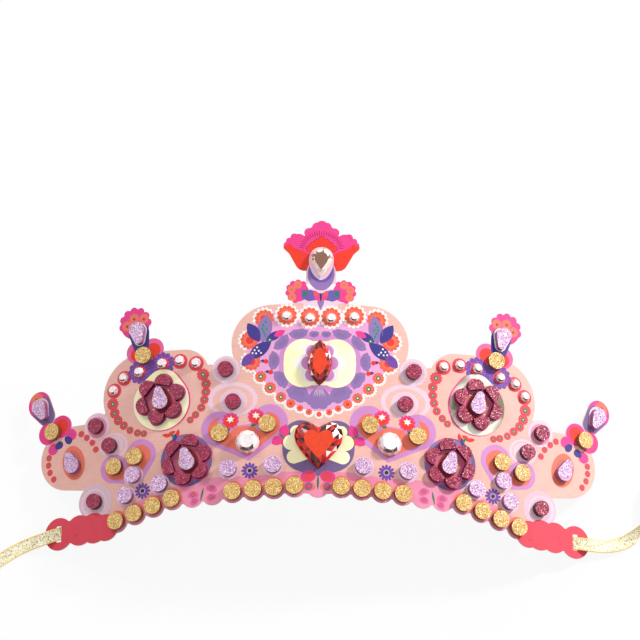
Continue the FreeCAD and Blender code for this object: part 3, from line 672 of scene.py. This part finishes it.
for level, colour, wide, high, shift in (
    (1, "pale", 11.5, 8.0, 0.5), (1.4, "salmon", 9.2, 6.5, 0.3), (1.8, "pale", 6.3, 5.7, 0.0),
):
    stamp(colour, level, "disc", 38.4 + shift, 45.4 + shift * 2, wide, high)
for level, colour, wide, high in ((1, "pale", 7.0, 5.9), (1.4, "salmon", 5.6, 4.9), (1.8, "pale", 4.9, 4.4)):
    stamp(colour, level, "disc", 94.4, 28.1, wide, high)
for across, up in ((20.0, 15.8), (39.8, 14.4), (84.0, 13.5), (71.3, 8.6), (87.4, 4.3)):
    stamp("pale", 4, "disc", across + 0.2, up - 0.1, 4.75)
for x, y, r in ((121.3, -10.3, 7.45), (110.4, -9.5, 6.95), (103.2, -9.1, 6.95), (97.3, -9.3, 6.15)):
    stamp("tab_red", 5, "disc", x, y, r)
hull("tab_red", 5.3, [(108.5, -9.5, 5.3), (98.0, -9.3, 5.6)])
hull("tab_red", 5.5, [(119.5, -10.1, 5.2), (110.4, -9.6, 5.2)])
print("stamps so far:", len(stamps))

# %% Hearts, flowers and daisies low on the card
heart("lilac", 2, [(44.7, 32.9, 8.1), (22.0, 35.6, 8.3)], (31.0, 18.4))
heart("coral", 2.5, [(44.2, 32.4, 5.6), (22.8, 34.6, 5.6)], (31.0, 20.6))
stamp_rows("disc", ("lilac", 3, 41.8, 34.6, 3.9, 4.3), ("lilac", 3, 25.4, 36.0, 3.7, 4.4))
heart("lilac", 2, [(94.0, 17.3, 6.6), (80.9, 22.9, 7.2)], (81.0, 9.9))
heart("coral", 2.5, [(93.5, 17.0, 4.7), (81.3, 22.4, 5.2)], (83.0, 12.4))
stamp("lilac", 3, "disc", 90.0, 19.2, 2.6, 3.0)
for across, up, turn in ((39.5, 36.6, -20), (28.0, 38.2, 25)):
    stamp("magenta", 4, "frill", across, up, 3.9, 3.7, turn)
    stamp("red", 4.5, "bloom", across, up - 0.3, 3.1, 2.9, turn)
    stamp("white", 5, "star", across + 0.1, up + 0.5, 2.0, 1.7, turn)
    stamp("green", 3.6, "leaf", across + 0.8, up - 3.4, 0.9, 1.9, turn + 30)
for across, up in ((30.4, 13.5), (79.6, 6.2)):
    stamp("violet", 5, "daisy", across, up, 3.8)
    stamp("mist", 5.4, "burst", across, up, 1.7)
    stamp("ink_dark", 5.8, "disc", across, up, 0.95)
stamp_rows("disc", ("dusk", 2, 59.4, 19.1, 11.9, 12.1), ("purple", 2.4, 58.6, 19.9, 10.9, 11.0))
for across, up, turn, wide in ((66.6, 31.8, 60, 1.0), (68.9, 31.0, 100, 0.9), (63.7, 31.6, 10, 0.9)):
    stamp("red", 3, "leaf", across, up, wide, 2.1, turn)
stamp_rows("leaf", ("indigo", 3.3, 65.0, 29.8, 1.0, 2.0, 15), ("green", 3.6, 66.0, 30.6, 0.5, 1.7, -35))
print("stamps so far:", len(stamps))

# %% Flower rings round the petals
def flower_print(across, up, level):
    """Rims of the six petals and the warm centre that shows between them."""
    for count in range(6):
        angle = math.radians(160 - 60 * count)
        heading = math.degrees(angle)
        x, y = across + 8.35 * math.cos(angle), up + 8.35 * math.sin(angle)
        stamp("magenta", level, "egg", x, y, 4.35, 3.9, heading - 90)
        stamp("pink", level + 0.4, "egg", x - 0.25, y + 0.1, 3.9, 3.6, heading - 90)
    stamp("blush", level + 0.8, "bloom", across, up, 6.1, 6.2, 15)
    stamp("maroon", level + 1.2, "egg", across - 0.9, up - 0.4, 4.3, 5.9, -10)


flower_print(59.0, 19.1, 3)
FOIL_TOP = 0.14 / LEVEL_STEP
flower_print(72.0, 47.6, FOIL_TOP)
hull("magenta", 1, [(71.6, 46.5, 13.5), (71.0, 53.1, 9.0)])
print("stamps so far:", len(stamps))

# %% Side lobes: rosettes, gem rings, bud and fan
def rosette(across, up, radius, level=3.0, centre="green"):
    """Red frilled rosette with a green star and a white eye."""
    stamp("rose", level, "frill", across, up, radius * 1.12, turn=across * 7)
    if radius > 1.45:
        stamp(centre, level + 0.4, "star", across, up, radius * 0.66, turn=up * 9)
        stamp("white", level + 0.8, "disc", across, up, radius * 0.12)
    else:
        stamp(centre, level + 0.4, "disc", across, up, radius * 0.26)


for across, up, radius in (
    (52.6, 58.3, 2.6), (51.1, 54.0, 2.05), (51.1, 50.2, 1.95), (51.7, 46.7, 1.85), (53.0, 43.1, 1.75),
    (55.6, 39.9, 1.6), (58.0, 37.6, 1.5), (95.5, 47.4, 2.6), (94.4, 43.1, 2.25), (92.6, 39.6, 2.05),
    (89.7, 37.0, 1.85), (86.6, 34.6, 1.6), (82.9, 33.1, 1.6), (79.8, 32.5, 1.5),
):
    rosette(across, up, radius)
for across, up in ((95.1, 53.7), (90.2, 59.2), (63.6, 65.2), (56.0, 63.8)):
    stamp("rose", 3, "disc", across - 0.1, up - 0.2, 3.5)
hull("violet", 2.9, [(82.3, 61.4, 3.6), (72.4, 64.0, 3.6)])
for across, up in ((82.7, 61.4), (71.6, 64.2)):
    stamp("violet", 3, "frill", across, up, 5.6)
    for count in range(40):
        angle, reach = count * 2.4, 2.6 + 2.6 * ((count * 7) % 11) / 11
        speck_up, speck_across = up + reach * math.sin(angle), across + reach * math.cos(angle)
        stamp("lilac" if count % 3 else "pink", 3.4, "seed", speck_across, speck_up, 0.21)
    stamp("rose", 3.6, "disc", across, up, 2.95)
stamp_rows(
    "disc", ("pink", 2, 76.5, 71.5, 5.15), ("pink", 2.2, 84.3, 70.5, 5.05), ("red", 2.6, 76.4, 71.0, 3.5),
    ("red", 2.8, 84.2, 69.6, 3.2), ("magenta", 2, 85.6, 84.0, 7.05),
)
for count in range(7):
    angle = math.radians(-10 + 186 * count / 6)
    stamp("magenta", 2.3, "disc", 85.6 + 6.2 * math.cos(angle), 84.0 + 6.2 * math.sin(angle), 1.74)
for across, up in ((89.5, 83.4), (86.2, 86.6), (81.4, 86.2)):
    stamp("coral", 2.7, "bloom", across, up, 2.5, turn=across)
    stamp("wine", 3.0, "star", across, up - 0.2, 0.9)
hull("indigo", 3.3, [(82.4, 74.0, 3.9), (83.5, 79.6, 4.95)])
hull("white", 3.6, [(83.1, 76.3, 2.7), (83.9, 80.6, 4.15)])
print("stamps so far:", len(stamps))

# %% Outer lobes: oval, dots, bud and leaf
stamp_rows("disc", ("coral", 2, 114.7, 22.0, 5.8, 8.1, -14), ("blush", 2.4, 114.9, 21.6, 4.3, 6.3, -14))
for across, up in (
    (111.2, 35.0), (108.2, 33.0), (105.3, 30.4), (103.4, 27.1), (128.1, 25.6), (128.2, 22.2), (127.3, 18.7),
    (125.1, 15.4),
):
    rosette(across, up, 1.4)
stamp_rows(
    "disc", ("magenta", 2, 121.9, 39.6, 5.25), ("magenta", 2.2, 129.1, 37.0, 5.15),
    ("red", 2.6, 121.8, 39.8, 3.5), ("poppy", 2.8, 128.2, 36.9, 3.0),
)
for across, up, cup_across, cup_up, turn in (
    (116.4, 35.4, 118.0, 33.0, -140), (125.9, 29.4, 122.9, 30.8, 150),
):
    stamp("magenta", 3, "frill", across, up, 3.0, 2.7, turn)
    stamp("indigo", 3.4, "egg", cup_across, cup_up, 1.7, 2.3, turn + 90)
    for offset in (-0.9, 0.0, 0.9):
        stamp("violet", 3.7, "seed", across + offset, up + 0.4 * offset, 0.22)
hull("magenta", 1, [(130.3, 45.4, 4.5), (134.6, 51.3, 6.15)])
hull("dusk", 1.5, [(130.2, 45.2, 4.3), (133.2, 49.6, 5.5)])
stamp("coral", 2, "disc", 136.0, 53.4, 3.6)
stamp("wine", 2.4, "star", 136.4, 53.9, 1.0)
hull("pale", 2.8, [(131.6, 46.2, 2.6), (133.6, 50.2, 4.2)])
print("stamps so far:", len(stamps))

# %% Centre lobe: lace, poppies, window ring and petals
FIELD_EDGE = [
    (19.4, 87.0), (26.1, 84.6), (31.2, 79.4), (33.2, 73.6), (32.6, 66.6), (29.9, 60.2), (25.2, 54.9),
    (19.4, 48.9), (13.0, 44.3), (6.3, 41.5), (0.0, 40.6),
]
patch("field", 3, FIELD_EDGE[::-1] + [(0.0, 88.0)])
POPPIES = [
    (25.2, 83.4, 4.4), (31.6, 73.6, 4.3), (30.6, 63.6, 4.2), (26.3, 56.6, 2.65), (22.0, 51.4, 2.7),
    (17.1, 47.1, 2.4), (12.7, 44.1, 2.15), (8.5, 42.0, 1.55), (4.5, 40.3, 1.5), (15.1, 85.0, 4.6),
    (4.7, 84.3, 4.5),
]
for across, up, radius in POPPIES:
    stamp("white", 2 if radius < 4.5 else 3.3, "lace", across, up, radius + 1.15, turn=up * 5)
    stamp("poppy", 4, "frill", across, up, radius, turn=across * 5)
    stamp("coral", 4.4, "burst", across, up, radius * 0.86, turn=across * 3)
    stamp("red", 4.7, "disc", across, up, radius * 0.42)
for across, up, radius in POPPIES[3:6]:
    stamp("green", 5, "star", across, up, radius * 0.62, turn=up * 9)
    stamp("white", 5.3, "disc", across, up, radius * 0.17)
stamp("white", 2, "lace", 0, 39.3, 2.2)
stamp("poppy", 4, "frill", 0, 39.3, 1.25)
hull("lilac", 4, [(7.4, 65.1, 10.9), (7.4, 60.5, 10.9), (-7.4, 65.1, 10.9), (-7.4, 60.5, 10.9)], both=False)
for across, up, wide, high, turn in (
    (9.6, 76.3, 4.5, 2.3, -10), (2.7, 76.2, 2.4, 1.5, -2), (17.0, 72.2, 4.5, 2.4, -48),
    (20.4, 63.9, 4.5, 2.4, -88), (17.0, 55.5, 4.6, 2.7, -124), (9.2, 49.0, 5.6, 3.8, -152),
):
    stamp("purple", 4.6, "fan", across, up, wide, high, turn)
    for offset in (-1.4, -0.7, 0.0, 0.7, 1.4):
        angle = math.radians(turn)
        shift = offset * wide / 3.6
        x = across + shift * math.cos(angle) + high * 0.05 * math.sin(angle)
        y = up + shift * math.sin(angle) - high * 0.05 * math.cos(angle)
        stamp("dusk", 5, "leaf", x, y, 0.16, high * 0.55, turn - offset * 6)
stamp("purple", 4.8, "fan", 0, 46.6, 5.6, 4.9, 180)
for offset in (-2.4, -1.6, -0.8, 0, 0.8, 1.6, 2.4):
    stamp("mist", 5.2, "leaf", offset * 0.8, 49.4, 0.14, 2.2, offset * 9, both=False)
for across, up, radius in ((4.8, 68.4, 4.0), (8.0, 62.8, 4.2), (5.0, 57.2, 4.0)):
    stamp("white", 6, "disc", across, up, radius)
for across, up, radius in ((3.2, 68.3, 3.0), (5.2, 62.9, 3.1), (3.5, 57.4, 3.0)):
    stamp("lilac", 6.5, "disc", across, up, radius)
stamp("lilac", 6.8, "disc", 0, 62.8, 5.0, 8.5)
print("stamps so far:", len(stamps))

# %% Centre lobe: a pair of leafy sprigs
for colour, level, across, up, wide, high, turn in (
    ("purple", 5.4, 24.9, 79.0, 3.3, 6.8, 8), ("indigo", 5.7, 29.9, 77.2, 2.7, 5.2, -33),
    ("indigo", 5.7, 27.0, 68.9, 2.9, 6.6, 52), ("violet", 5.9, 32.2, 64.6, 2.3, 4.0, -135),
    ("indigo", 5.9, 20.6, 75.4, 1.9, 4.4, 60), ("magenta", 6.1, 18.2, 76.6, 1.5, 2.8, 62),
):
    stamp(colour, level, "leaf", across, up, wide, high, turn)
for across, up in ((24.6, 82.0), (25.6, 80.4), (24.2, 78.8), (25.3, 77.2), (24.6, 75.6), (26.0, 78.8)):
    stamp("teal", 6.2, "leaf", across, up, 0.55, 0.95, -20)
for across, up in ((28.6, 67.4), (27.4, 68.6), (29.3, 68.9), (26.4, 67.6), (28.2, 70.2), (30.2, 67.6)):
    stamp("white", 6.2, "disc", across, up, 0.42)
stamp("green", 6.4, "star", 22.6, 73.6, 1.3)
stamp("white", 6.6, "disc", 22.6, 73.6, 0.3)
for across, up in ((24.0, 63.6), (21.8, 58.6)):
    stamp("red", 5.6, "disc", across, up, 1.05)
    stamp("indigo", 5.4, "leaf", across + 1.2, up + 0.2, 0.7, 1.4, -80)
print("stamps so far:", len(stamps))

# %% Heart's patch, wings and the butterflies on the lower edge
hull("dusk", 3, [(7.9, 28.3, 8.2), (6.2, 22.8, 9.8), (0.8, 19.8, 8.6)])
for colour, level, across, up, wide, high, turn in (
    ("magenta", 4, 15.4, 31.6, 2.2, 3.2, 20), ("magenta", 4, 18.4, 27.2, 2.2, 2.8, -125),
    ("rose", 3.6, 14.6, 27.4, 2.6, 3.4, -110), ("green", 4.4, 16.0, 28.9, 0.45, 2.6, -55),
):
    stamp(colour, level, "leaf", across, up, wide, high, turn)
stamp_rows(
    "disc", ("magenta", 4, 4.3, 10.9, 3.4, 2.7, -12), ("rose", 4.3, 3.9, 10.9, 2.4, 1.9, -12),
    ("coral", 3.7, 4.0, 6.5, 2.9, 2.2, 12), ("dusk", 4.3, 4.1, 6.4, 1.7), ("rose", 4.6, 4.1, 6.4, 0.95),
)
stamp("green", 5, "leaf", 0, 8.3, 0.5, 3.4)
for across, up, wide, high, turn in (
    (47.3, 5.8, 2.5, 1.7, 20), (55.7, 3.2, 2.5, 1.7, 0), (47.5, 2.0, 2.3, 1.7, -20),
    (55.1, 0.2, 2.2, 1.6, -40),
):
    stamp("pink", 4, "egg", across, up, wide, high, turn)
    stamp("dusk", 4.3, "disc", across, up, high * 0.68, high * 0.6)
    stamp("poppy", 4.6, "disc", across, up, high * 0.45, high * 0.4)
stamp("green", 5, "leaf", 51.7, 3.2, 0.45, 3.2, 12)
print("stamps so far:", len(stamps))

# %% Crest: magenta flower, berries, cup, carnations and banner
hull("red", 1, [(7.4, 110.5, 4.55), (11.6, 116.3, 3.65)])
hull("red", 1.2, [(11.6, 116.3, 3.65), (15.6, 117.2, 1.55)])
hull("red", 1.4, [(0, 112.0, 6.6), (7.4, 110.5, 4.5)])
for x, y, r in (
    (0, 119.9, 8.05), (10.4, 119.7, 3.6), (12.4, 121.8, 1.66), (14.6, 120.0, 1.45), (16.0, 118.6, 0.9),
):
    stamp("magenta", 2, "disc", x, y, r)
for count in range(4):
    angle = math.radians(35 + 110 * count / 3)
    stamp("magenta", 2.2, "disc", 7.0 * math.cos(angle), 119.9 + 7.0 * math.sin(angle), 2.15, both=False)
stamp("magenta", 2.4, "disc", 0, 126.7, 2.85)
hull("magenta", 2.5, [(0, 117.0, 5.0), (9.0, 119.0, 3.4)])
for count in range(25):
    angle = math.radians(8 + 164 * count / 24)
    across, up = 9.0 * math.cos(angle), 115.6 + 8.0 * math.sin(angle)
    stamp("wine", 3, "leaf", across, up, 0.2, 1.35 + 0.3 * (count % 2), math.degrees(angle) - 90, both=False)
for across, up in (
    (0, 120.8), (1.95, 119.6), (3.9, 118.2), (0, 118.5), (5.6, 116.4), (2.1, 117.1), (3.9, 115.6),
):
    stamp("maroon", 3.3, "disc", across, up, 1.5)
    stamp("red", 3.6, "disc", across, up, 1.28)
hull("pale", 1.6, [(0, 93.6, 6.6), (0, 105.0, 6.62)], both=False)
stamp_rows("disc", ("purple", 3, 0, 104.6, 6.1, 7.9), ("banner", 3.4, 0, 106.2, 5.4, 5.8))
stamp("pale", 3.9, "egg", 0, 109.4, 5.55, 7.75, 180)
stamp("white", 2.2, "disc", 5.0, 98.6, 2.7, 1.0, 12)
hull("pale", 1.4, [(0, 94.5, 4.35), (8.0, 94.7, 4.35)])
stamp("magenta", 2.4, "disc", 10.4, 96.2, 4.86)
for count in range(7):
    angle = math.radians(-75 + 200 * count / 6)
    stamp("magenta", 2.6, "disc", 10.4 + 4.2 * math.cos(angle), 96.2 + 4.2 * math.sin(angle), 1.36)
for across, up in ((10.4, 99.3), (13.2, 97.1), (12.8, 93.6)):
    stamp("coral", 3, "bloom", across, up, 1.95, turn=across * 9)
    stamp("blush", 3.3, "star", across, up, 0.8)
patch("banner", 3, [(0, 92.9), (4.9, 91.4), (8.6, 93.0), (8.8, 97.0), (4.2, 96.9), (0, 95.2)])
stamp("green", 3.6, "star", 7.1, 95.2, 1.7)
stamp("magenta", 3.9, "egg", 1.9, 94.3, 1.25, 2.5, -22)
stamp_rows("leaf", ("poppy", 4.2, 2.2, 95.0, 0.7, 1.4, -35), ("ink_dark", 4.5, 0, 93.6, 0.4, 2.2))
stamp("pale", 3.2, "disc", 0, 89.6, 8.0, 2.6)
hull("purple", 3.6, [(0, 91.2, 1.5), (0, 88.0, 0.3)], both=False)
print("stamps:", len(stamps))

# %% [markdown]
# ## Laying the print
# All stamps become one flat sheet of faces. The sheet is bisected every few millimetres, so that it can
# follow the curl, and at the slots' edges, so that the slots stay open. Then every corner is moved on to
# the card. Last, the sheet is separated by ink, one piece for each colour.

# %% Flat sheet
LOWEST = 0.012
# Shapes on one level still lie a hair apart, because faces in one plane would blot each other.
HAIR = 0.0002
sheet = bmesh.new()
laid = {}
for colour, level, corners in stamps:
    laid[level] = laid.get(level, 0) + 1
    lift = level * LEVEL_STEP + LOWEST + laid[level] % 12 * HAIR
    made = sheet.faces.new([sheet.verts.new((x, y, lift)) for x, y in corners])
    made.material_index = INK_ORDER.index(colour)
    made.normal_update()
    if made.normal.z < 0:
        made.normal_flip()
print_data = bpy.data.meshes.new("print_sheet")
sheet.to_mesh(print_data)
sheet.free()
for finish in ink_materials:
    print_data.materials.append(finish)
print_sheet = bpy.data.objects.new("print_sheet", print_data)
bpy.context.collection.objects.link(print_sheet)
print("flat shapes:", len(print_data.polygons))

# %% Bisect and curl
SLOT_ACROSS, SLOT_UP = 121.3, -10.3
SLOT_HALF = (1.4, 3.7)
pick_only(print_sheet)
bpy.ops.object.mode_set(mode="EDIT")
cuts = [-141 + 3 * step for step in range(95)]
cuts += [sign * SLOT_ACROSS + edge * SLOT_HALF[0] for sign in (-1, 1) for edge in (-1, 1)]
for cut in cuts:
    bpy.ops.mesh.select_all(action="SELECT")
    bpy.ops.mesh.bisect(plane_co=(cut, 0, 0), plane_no=(1, 0, 0))
for edge in (-1, 1):
    bpy.ops.mesh.select_all(action="SELECT")
    bpy.ops.mesh.bisect(plane_co=(0, SLOT_UP + edge * SLOT_HALF[1], 0), plane_no=(0, 1, 0))
bpy.ops.object.mode_set(mode="OBJECT")
sheet = bmesh.new()
sheet.from_mesh(print_data)
open_slot = [
    face for face in sheet.faces
    if abs(abs(face.calc_center_median().x) - SLOT_ACROSS) < SLOT_HALF[0]
    and abs(face.calc_center_median().y - SLOT_UP) < SLOT_HALF[1]
]
bmesh.ops.delete(sheet, geom=open_slot, context="FACES")
for corner in sheet.verts:
    corner.co = on_card(corner.co.x, corner.co.y, corner.co.z)
sheet.to_mesh(print_data)
sheet.free()
pick_only(print_sheet)
bpy.ops.object.mode_set(mode="EDIT")
bpy.ops.mesh.separate(type="MATERIAL")
bpy.ops.object.mode_set(mode="OBJECT")
for piece in list(bpy.context.selected_objects):
    piece.name = "print_" + piece.data.materials[0].name.removeprefix("ink_")
    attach(piece, "root")
print("print pieces:", len(bpy.context.selected_objects))
for made in MOTIFS.values():
    bpy.data.objects.remove(made)

# %% [markdown]
# ## Gems
# A flat-backed gem is a low moulded dome of facets: a flat table on top, a crown of triangles and a thin
# girdle. Its foil back makes some facets flash and others go dark; here that flash and dark are painted
# highlights and painted shade, kept as a colour on each facet. Each gem is built as rings of corners, the
# middle ring turned half a step so that the crown is cut in triangles.

# %% Gem finish
def gem_finish(name, roughness, coat):
    """Acrylic over foil: each facet's colour, with its painted highlight or painted shade, under a clear,
    glossy skin.
    """
    made, tree, shader = material(name, roughness=roughness, specular=0.35, coat=coat)
    shader.inputs["Coat Roughness"].default_value = 0.04
    facet = node(tree, "ShaderNodeVertexColor", layer_name="facet").outputs["Color"]
    place = node(tree, "ShaderNodeTexCoord").outputs["Object"]
    veil = stepped(tree, noise(tree, place, 420, 2.0), 0.35, 0.75)
    tree.links.new(
        mixed(tree, 1.0, facet, mixed(tree, veil, (1, 1, 1, 1), (0.82, 0.80, 0.80, 1)), "MULTIPLY"),
        shader.inputs["Base Color"],
    )
    bumped(tree, shader, noise(tree, place, 260, 1.0), 0.00003, 0.2)
    return made


RED_GEM = gem_finish("red_gem", 0.12, 0.3)
PALE_GEM = gem_finish("pale_gem", 0.10, 0.8)

# %% Facet colours
TABLE_FROM, CROWN_FROM = 0.97, 0.5


def red_facets_and_painted_light(direction, height, chance):
    """Heart and marquise: orange-red table, random painted shade, painted white glints mostly to the upper
    right.
    """
    if height > TABLE_FROM:
        return paint(0.93, 0.24, 0.03)
    # Painted white glints, more of them on facets towards the upper right; painted dark shade at random.
    if chance > 0.95 or (0.3 < direction < 0.8 and chance > 0.6):
        return paint(1.0, 0.95, 0.93)
    if chance < 0.42:
        return paint(0.24, 0.01, 0.02)
    return paint(0.60, 0.03, 0.03) if chance < 0.66 else paint(0.90, 0.12, 0.04)


def clear_facets_and_painted_light(direction, height, chance):
    """Round gems: painted white highlight, pink rim and a painted shade patch on the facets low and left."""
    if height > TABLE_FROM:
        return paint(0.99, 0.96, 0.96)
    # Painted shade on the crown facets that point down and to the left.
    if -2.6 < direction < -0.9 and height > CROWN_FROM:
        return paint(0.26, 0.14, 0.12) if chance < 0.75 else paint(0.75, 0.45, 0.45)
    if height < CROWN_FROM:
        return paint(0.93, 0.66, 0.68) if chance < 0.5 else paint(0.98, 0.86, 0.86)
    return paint(1.0, 0.97, 0.97) if chance > 0.25 else paint(0.90, 0.62, 0.66)


def smoky_facets_and_painted_light(direction, height, chance):
    """Teardrop: pale rim, painted brown reflection in its table, painted pale and brown reflections on its
    crown.
    """
    if height > TABLE_FROM:
        return paint(0.52, 0.34, 0.26)
    if height > CROWN_FROM:
        return paint(0.97, 0.88, 0.84) if chance > 0.45 else paint(0.55, 0.35, 0.28)
    return paint(0.99, 0.90, 0.88) if chance > 0.3 else paint(0.90, 0.62, 0.60)


# %% Cutting a gem
def cut_gem(mesh, layer, outline, height, across, up, lift, facets, seed):
    """Adds one gem to a mesh: foot, girdle, crown and table, seated square to the card."""
    picks = random.Random(seed)
    count = len(outline)
    middle = [
        ((a[0] + b[0]) / 2, (a[1] + b[1]) / 2) for a, b in zip(outline, outline[1:] + outline[:1])
    ]
    # Each ring: its outline, its share of the full width and its share of the height.
    rings = ((outline, 0.90, 0.0), (outline, 1.0, 0.26), (middle, 0.86, 0.66), (outline, 0.60, 1.0))
    # The flat back lies square to the card where the gem's middle stands.
    angle = across / CURL_RADIUS
    turn = Matrix.Rotation(angle, 3, "Y")
    foot = Vector((CURL_RADIUS * math.sin(angle), up, CURL_RADIUS * (math.cos(angle) - 1)))
    made = []
    for points, share, level in rings:
        ring = []
        for x, y in points:
            local = Vector((x * share, y * share, level * height + lift))
            ring.append(mesh.verts.new((LEAN @ (foot + turn @ local) + LIE) * MM))
        made.append(ring)
    foot_ring, girdle, crown, table = made
    faces = []
    for k in range(count):
        n = (k + 1) % count
        faces.append(((foot_ring[k], foot_ring[n], girdle[n], girdle[k]), 0.2, k))
        faces.append(((girdle[k], girdle[n], crown[k]), 0.45, k))
        faces.append(((girdle[n], crown[n], crown[k]), 0.45, n))
        faces.append(((crown[k], crown[n], table[n]), 0.8, n))
        faces.append(((crown[k], table[n], table[k]), 0.8, k))
    faces.append((tuple(table), 1.0, 0))
    faces.append((tuple(reversed(foot_ring)), 0.0, 0))
    for corners, level, place in faces:
        face = mesh.faces.new(corners)
        x, y = outline[place]
        colour = facets(math.atan2(y, x), level, picks.random())
        for loop in face.loops:
            loop[layer] = colour


def gem_piece(name, node_name, finish, jobs):
    """One object for all the gems of a CAD node."""
    mesh = bmesh.new()
    layer = mesh.loops.layers.float_color.new("facet")
    for seed, job in enumerate(jobs, start=3):
        cut_gem(mesh, layer, *job, seed)
    bmesh.ops.recalc_face_normals(mesh, faces=mesh.faces)
    data = bpy.data.meshes.new(name)
    mesh.to_mesh(data)
    mesh.free()
    data.materials.append(finish)
    piece = bpy.data.objects.new(name, data)
    bpy.context.collection.objects.link(piece)
    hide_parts(node_name)
    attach(piece, "root")
    print(name, len(data.polygons), "facets")


# %% Gem outlines
def round_outline(across, corners):
    return [
        (across / 2 * math.cos(math.tau * k / corners), across / 2 * math.sin(math.tau * k / corners))
        for k in range(corners)
    ]


HEART_HALF = [
    (0.12, 0.455), (0.25, 0.5), (0.38, 0.465), (0.47, 0.36), (0.5, 0.21), (0.47, 0.06), (0.38, -0.09),
    (0.26, -0.235), (0.13, -0.375),
]
HEART_SIZE = 21.6
HEART_CLEFT, HEART_TIP = 0.39, -0.5
heart_right = [(x * HEART_SIZE, y * HEART_SIZE) for x, y in HEART_HALF]
heart_left = [(-x, y) for x, y in reversed(heart_right)]
heart_outline = [
    (0, HEART_CLEFT * HEART_SIZE), *heart_right, (0, HEART_TIP * HEART_SIZE), *heart_left,
][::-1]

HALF_WIDE, HALF_LONG = 5.4, 10.65
arc_radius = (HALF_WIDE**2 + HALF_LONG**2) / (2 * HALF_WIDE)
arc_sweep = math.asin(HALF_LONG / arc_radius)
arc_angles = [arc_sweep * k / 4 for k in range(-4, 5)]
marquise_right = [
    (arc_radius * math.cos(angle) - arc_radius + HALF_WIDE, arc_radius * math.sin(angle))
    for angle in arc_angles
]
marquise_outline = marquise_right + [(-x, -y) for x, y in marquise_right[1:-1]]

# A teardrop is a circle and the two lines from its tip that touch it.
DROP_RADIUS, DROP_RAISE, DROP_TIP = 5.1, 2.1, -7.2
drop_touch = math.acos(DROP_RADIUS / (DROP_RAISE - DROP_TIP))
drop_angles = [-math.pi / 2 + drop_touch + (math.tau - 2 * drop_touch) * k / 10 for k in range(11)]
teardrop_outline = [
    (DROP_RADIUS * math.cos(angle), DROP_RAISE + DROP_RADIUS * math.sin(angle)) for angle in drop_angles
] + [(0, DROP_TIP)]

# %% Cut all the gems
ON_CARD, ON_FOIL = 0.05, 0.15
for name, slot_name, finish, job in (
    ("heart", "red_gem", RED_GEM, (heart_outline, 4.6, 0, 24.6, ON_FOIL, red_facets_and_painted_light)),
    ("marquise", "red_gem", RED_GEM, (marquise_outline, 4.0, 0, 62.8, ON_FOIL, red_facets_and_painted_light)),
    ("teardrop", "smoky_gem", PALE_GEM, (teardrop_outline, 3.6, 0, 109.5, ON_CARD, smoky_facets_and_painted_light)),
):
    gem_piece(f"cut_{name}", f"{name}_gem", finish, [job])
SMALL, SMALL_HIGH = round_outline(4.9, 8), 2.2
gem_piece("cut_row_centre", "small_gems_centre", PALE_GEM, [
    (SMALL, SMALL_HIGH, across, up, ON_CARD, clear_facets_and_painted_light)
    for across, up in ((-15.1, 84.5), (-4.7, 83.7), (4.7, 83.7), (15.1, 84.5))
])
ARC = [(95.1, 53.7), (90.2, 59.2), (82.9, 61.2), (72.0, 64.4), (63.6, 65.2), (56.0, 63.8)]
for side, sign in (("left", -1), ("right", 1)):
    gem_piece(f"cut_round_{side}", f"round_gem_{side}", PALE_GEM, [
        (round_outline(11, 12), 3.6, sign * 31.6, 26.5, ON_CARD, clear_facets_and_painted_light)
    ])
    gem_piece(f"cut_arc_{side}", f"small_gems_{side}", PALE_GEM, [
        (SMALL, SMALL_HIGH, sign * across, up, ON_CARD, clear_facets_and_painted_light) for across, up in ARC
    ])

# %% [markdown]
# ## Floor and light
# The photograph is a cut-out on white. A large pale floor shows white to the camera and still takes a
# little of the crown's shadow. A small lamp at the upper right brightens the right half and throws the
# foam's shadows to the lower left. A softer, weaker one stands at the left, and the white surroundings
# fill the rest.

# %% Floor
bpy.ops.object.select_all(action="DESELECT")
bpy.ops.mesh.primitive_plane_add(size=12, location=(0, 0, -0.0004))
floor = bpy.context.object
floor.name = "floor"
floor_finish = bpy.data.materials.new("floor_white")
floor_finish.use_nodes = True
tree = floor_finish.node_tree
tree.nodes.clear()
pale = node(tree, "ShaderNodeBsdfDiffuse", {"Color": (0.80, 0.80, 0.80, 1)})
shine = node(tree, "ShaderNodeEmission")
seen = node(tree, "ShaderNodeLightPath").outputs["Is Camera Ray"]
share = node(tree, "ShaderNodeMath", {0: seen, 1: 0.90}, operation="MULTIPLY")
blend = node(tree, "ShaderNodeMixShader", {
    "Fac": share.outputs["Value"], 1: pale.outputs["BSDF"], 2: shine.outputs["Emission"],
})
node(tree, "ShaderNodeOutputMaterial", {"Surface": blend.outputs["Shader"]})
floor.data.materials.append(floor_finish)
floor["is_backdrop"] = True

# %% World and lamps
world = bpy.data.worlds.new("studio")
bpy.context.scene.world = world
world.use_nodes = True
tree = world.node_tree
back = tree.nodes["Background"]
rays = node(tree, "ShaderNodeLightPath").outputs
direct = rays["Is Camera Ray"]
for kind in ("Is Glossy Ray", "Is Transmission Ray"):
    direct = node(tree, "ShaderNodeMath", {0: direct, 1: rays[kind]}, operation="MAXIMUM").outputs["Value"]
back.inputs["Color"].default_value = WHITE
feed(tree, back.inputs["Strength"], stepped(tree, direct, start=0.62))


def lamp(name, place, size, power):
    """An area lamp that looks at the crown's middle."""
    bpy.ops.object.light_add(type="AREA", location=place)
    made = bpy.context.object
    made.name = name
    made.data.size = size
    made.data.energy = power
    made.rotation_euler = (Vector((0, 0, 0.02)) - Vector(place)).to_track_quat("-Z", "Y").to_euler()
    return made


lamp("key_lamp", (1.0, 0.66, 0.66), 0.16, 19)
lamp("left_lamp", (-0.75, 0.8, 0.75), 0.4, 5)
print("lamps placed")

# %% Sizes and finish
view = bpy.context.scene.view_settings
view.view_transform = "Standard"
low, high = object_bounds()
print("visual box", [round(v, 4) for v in (*low, *high)])
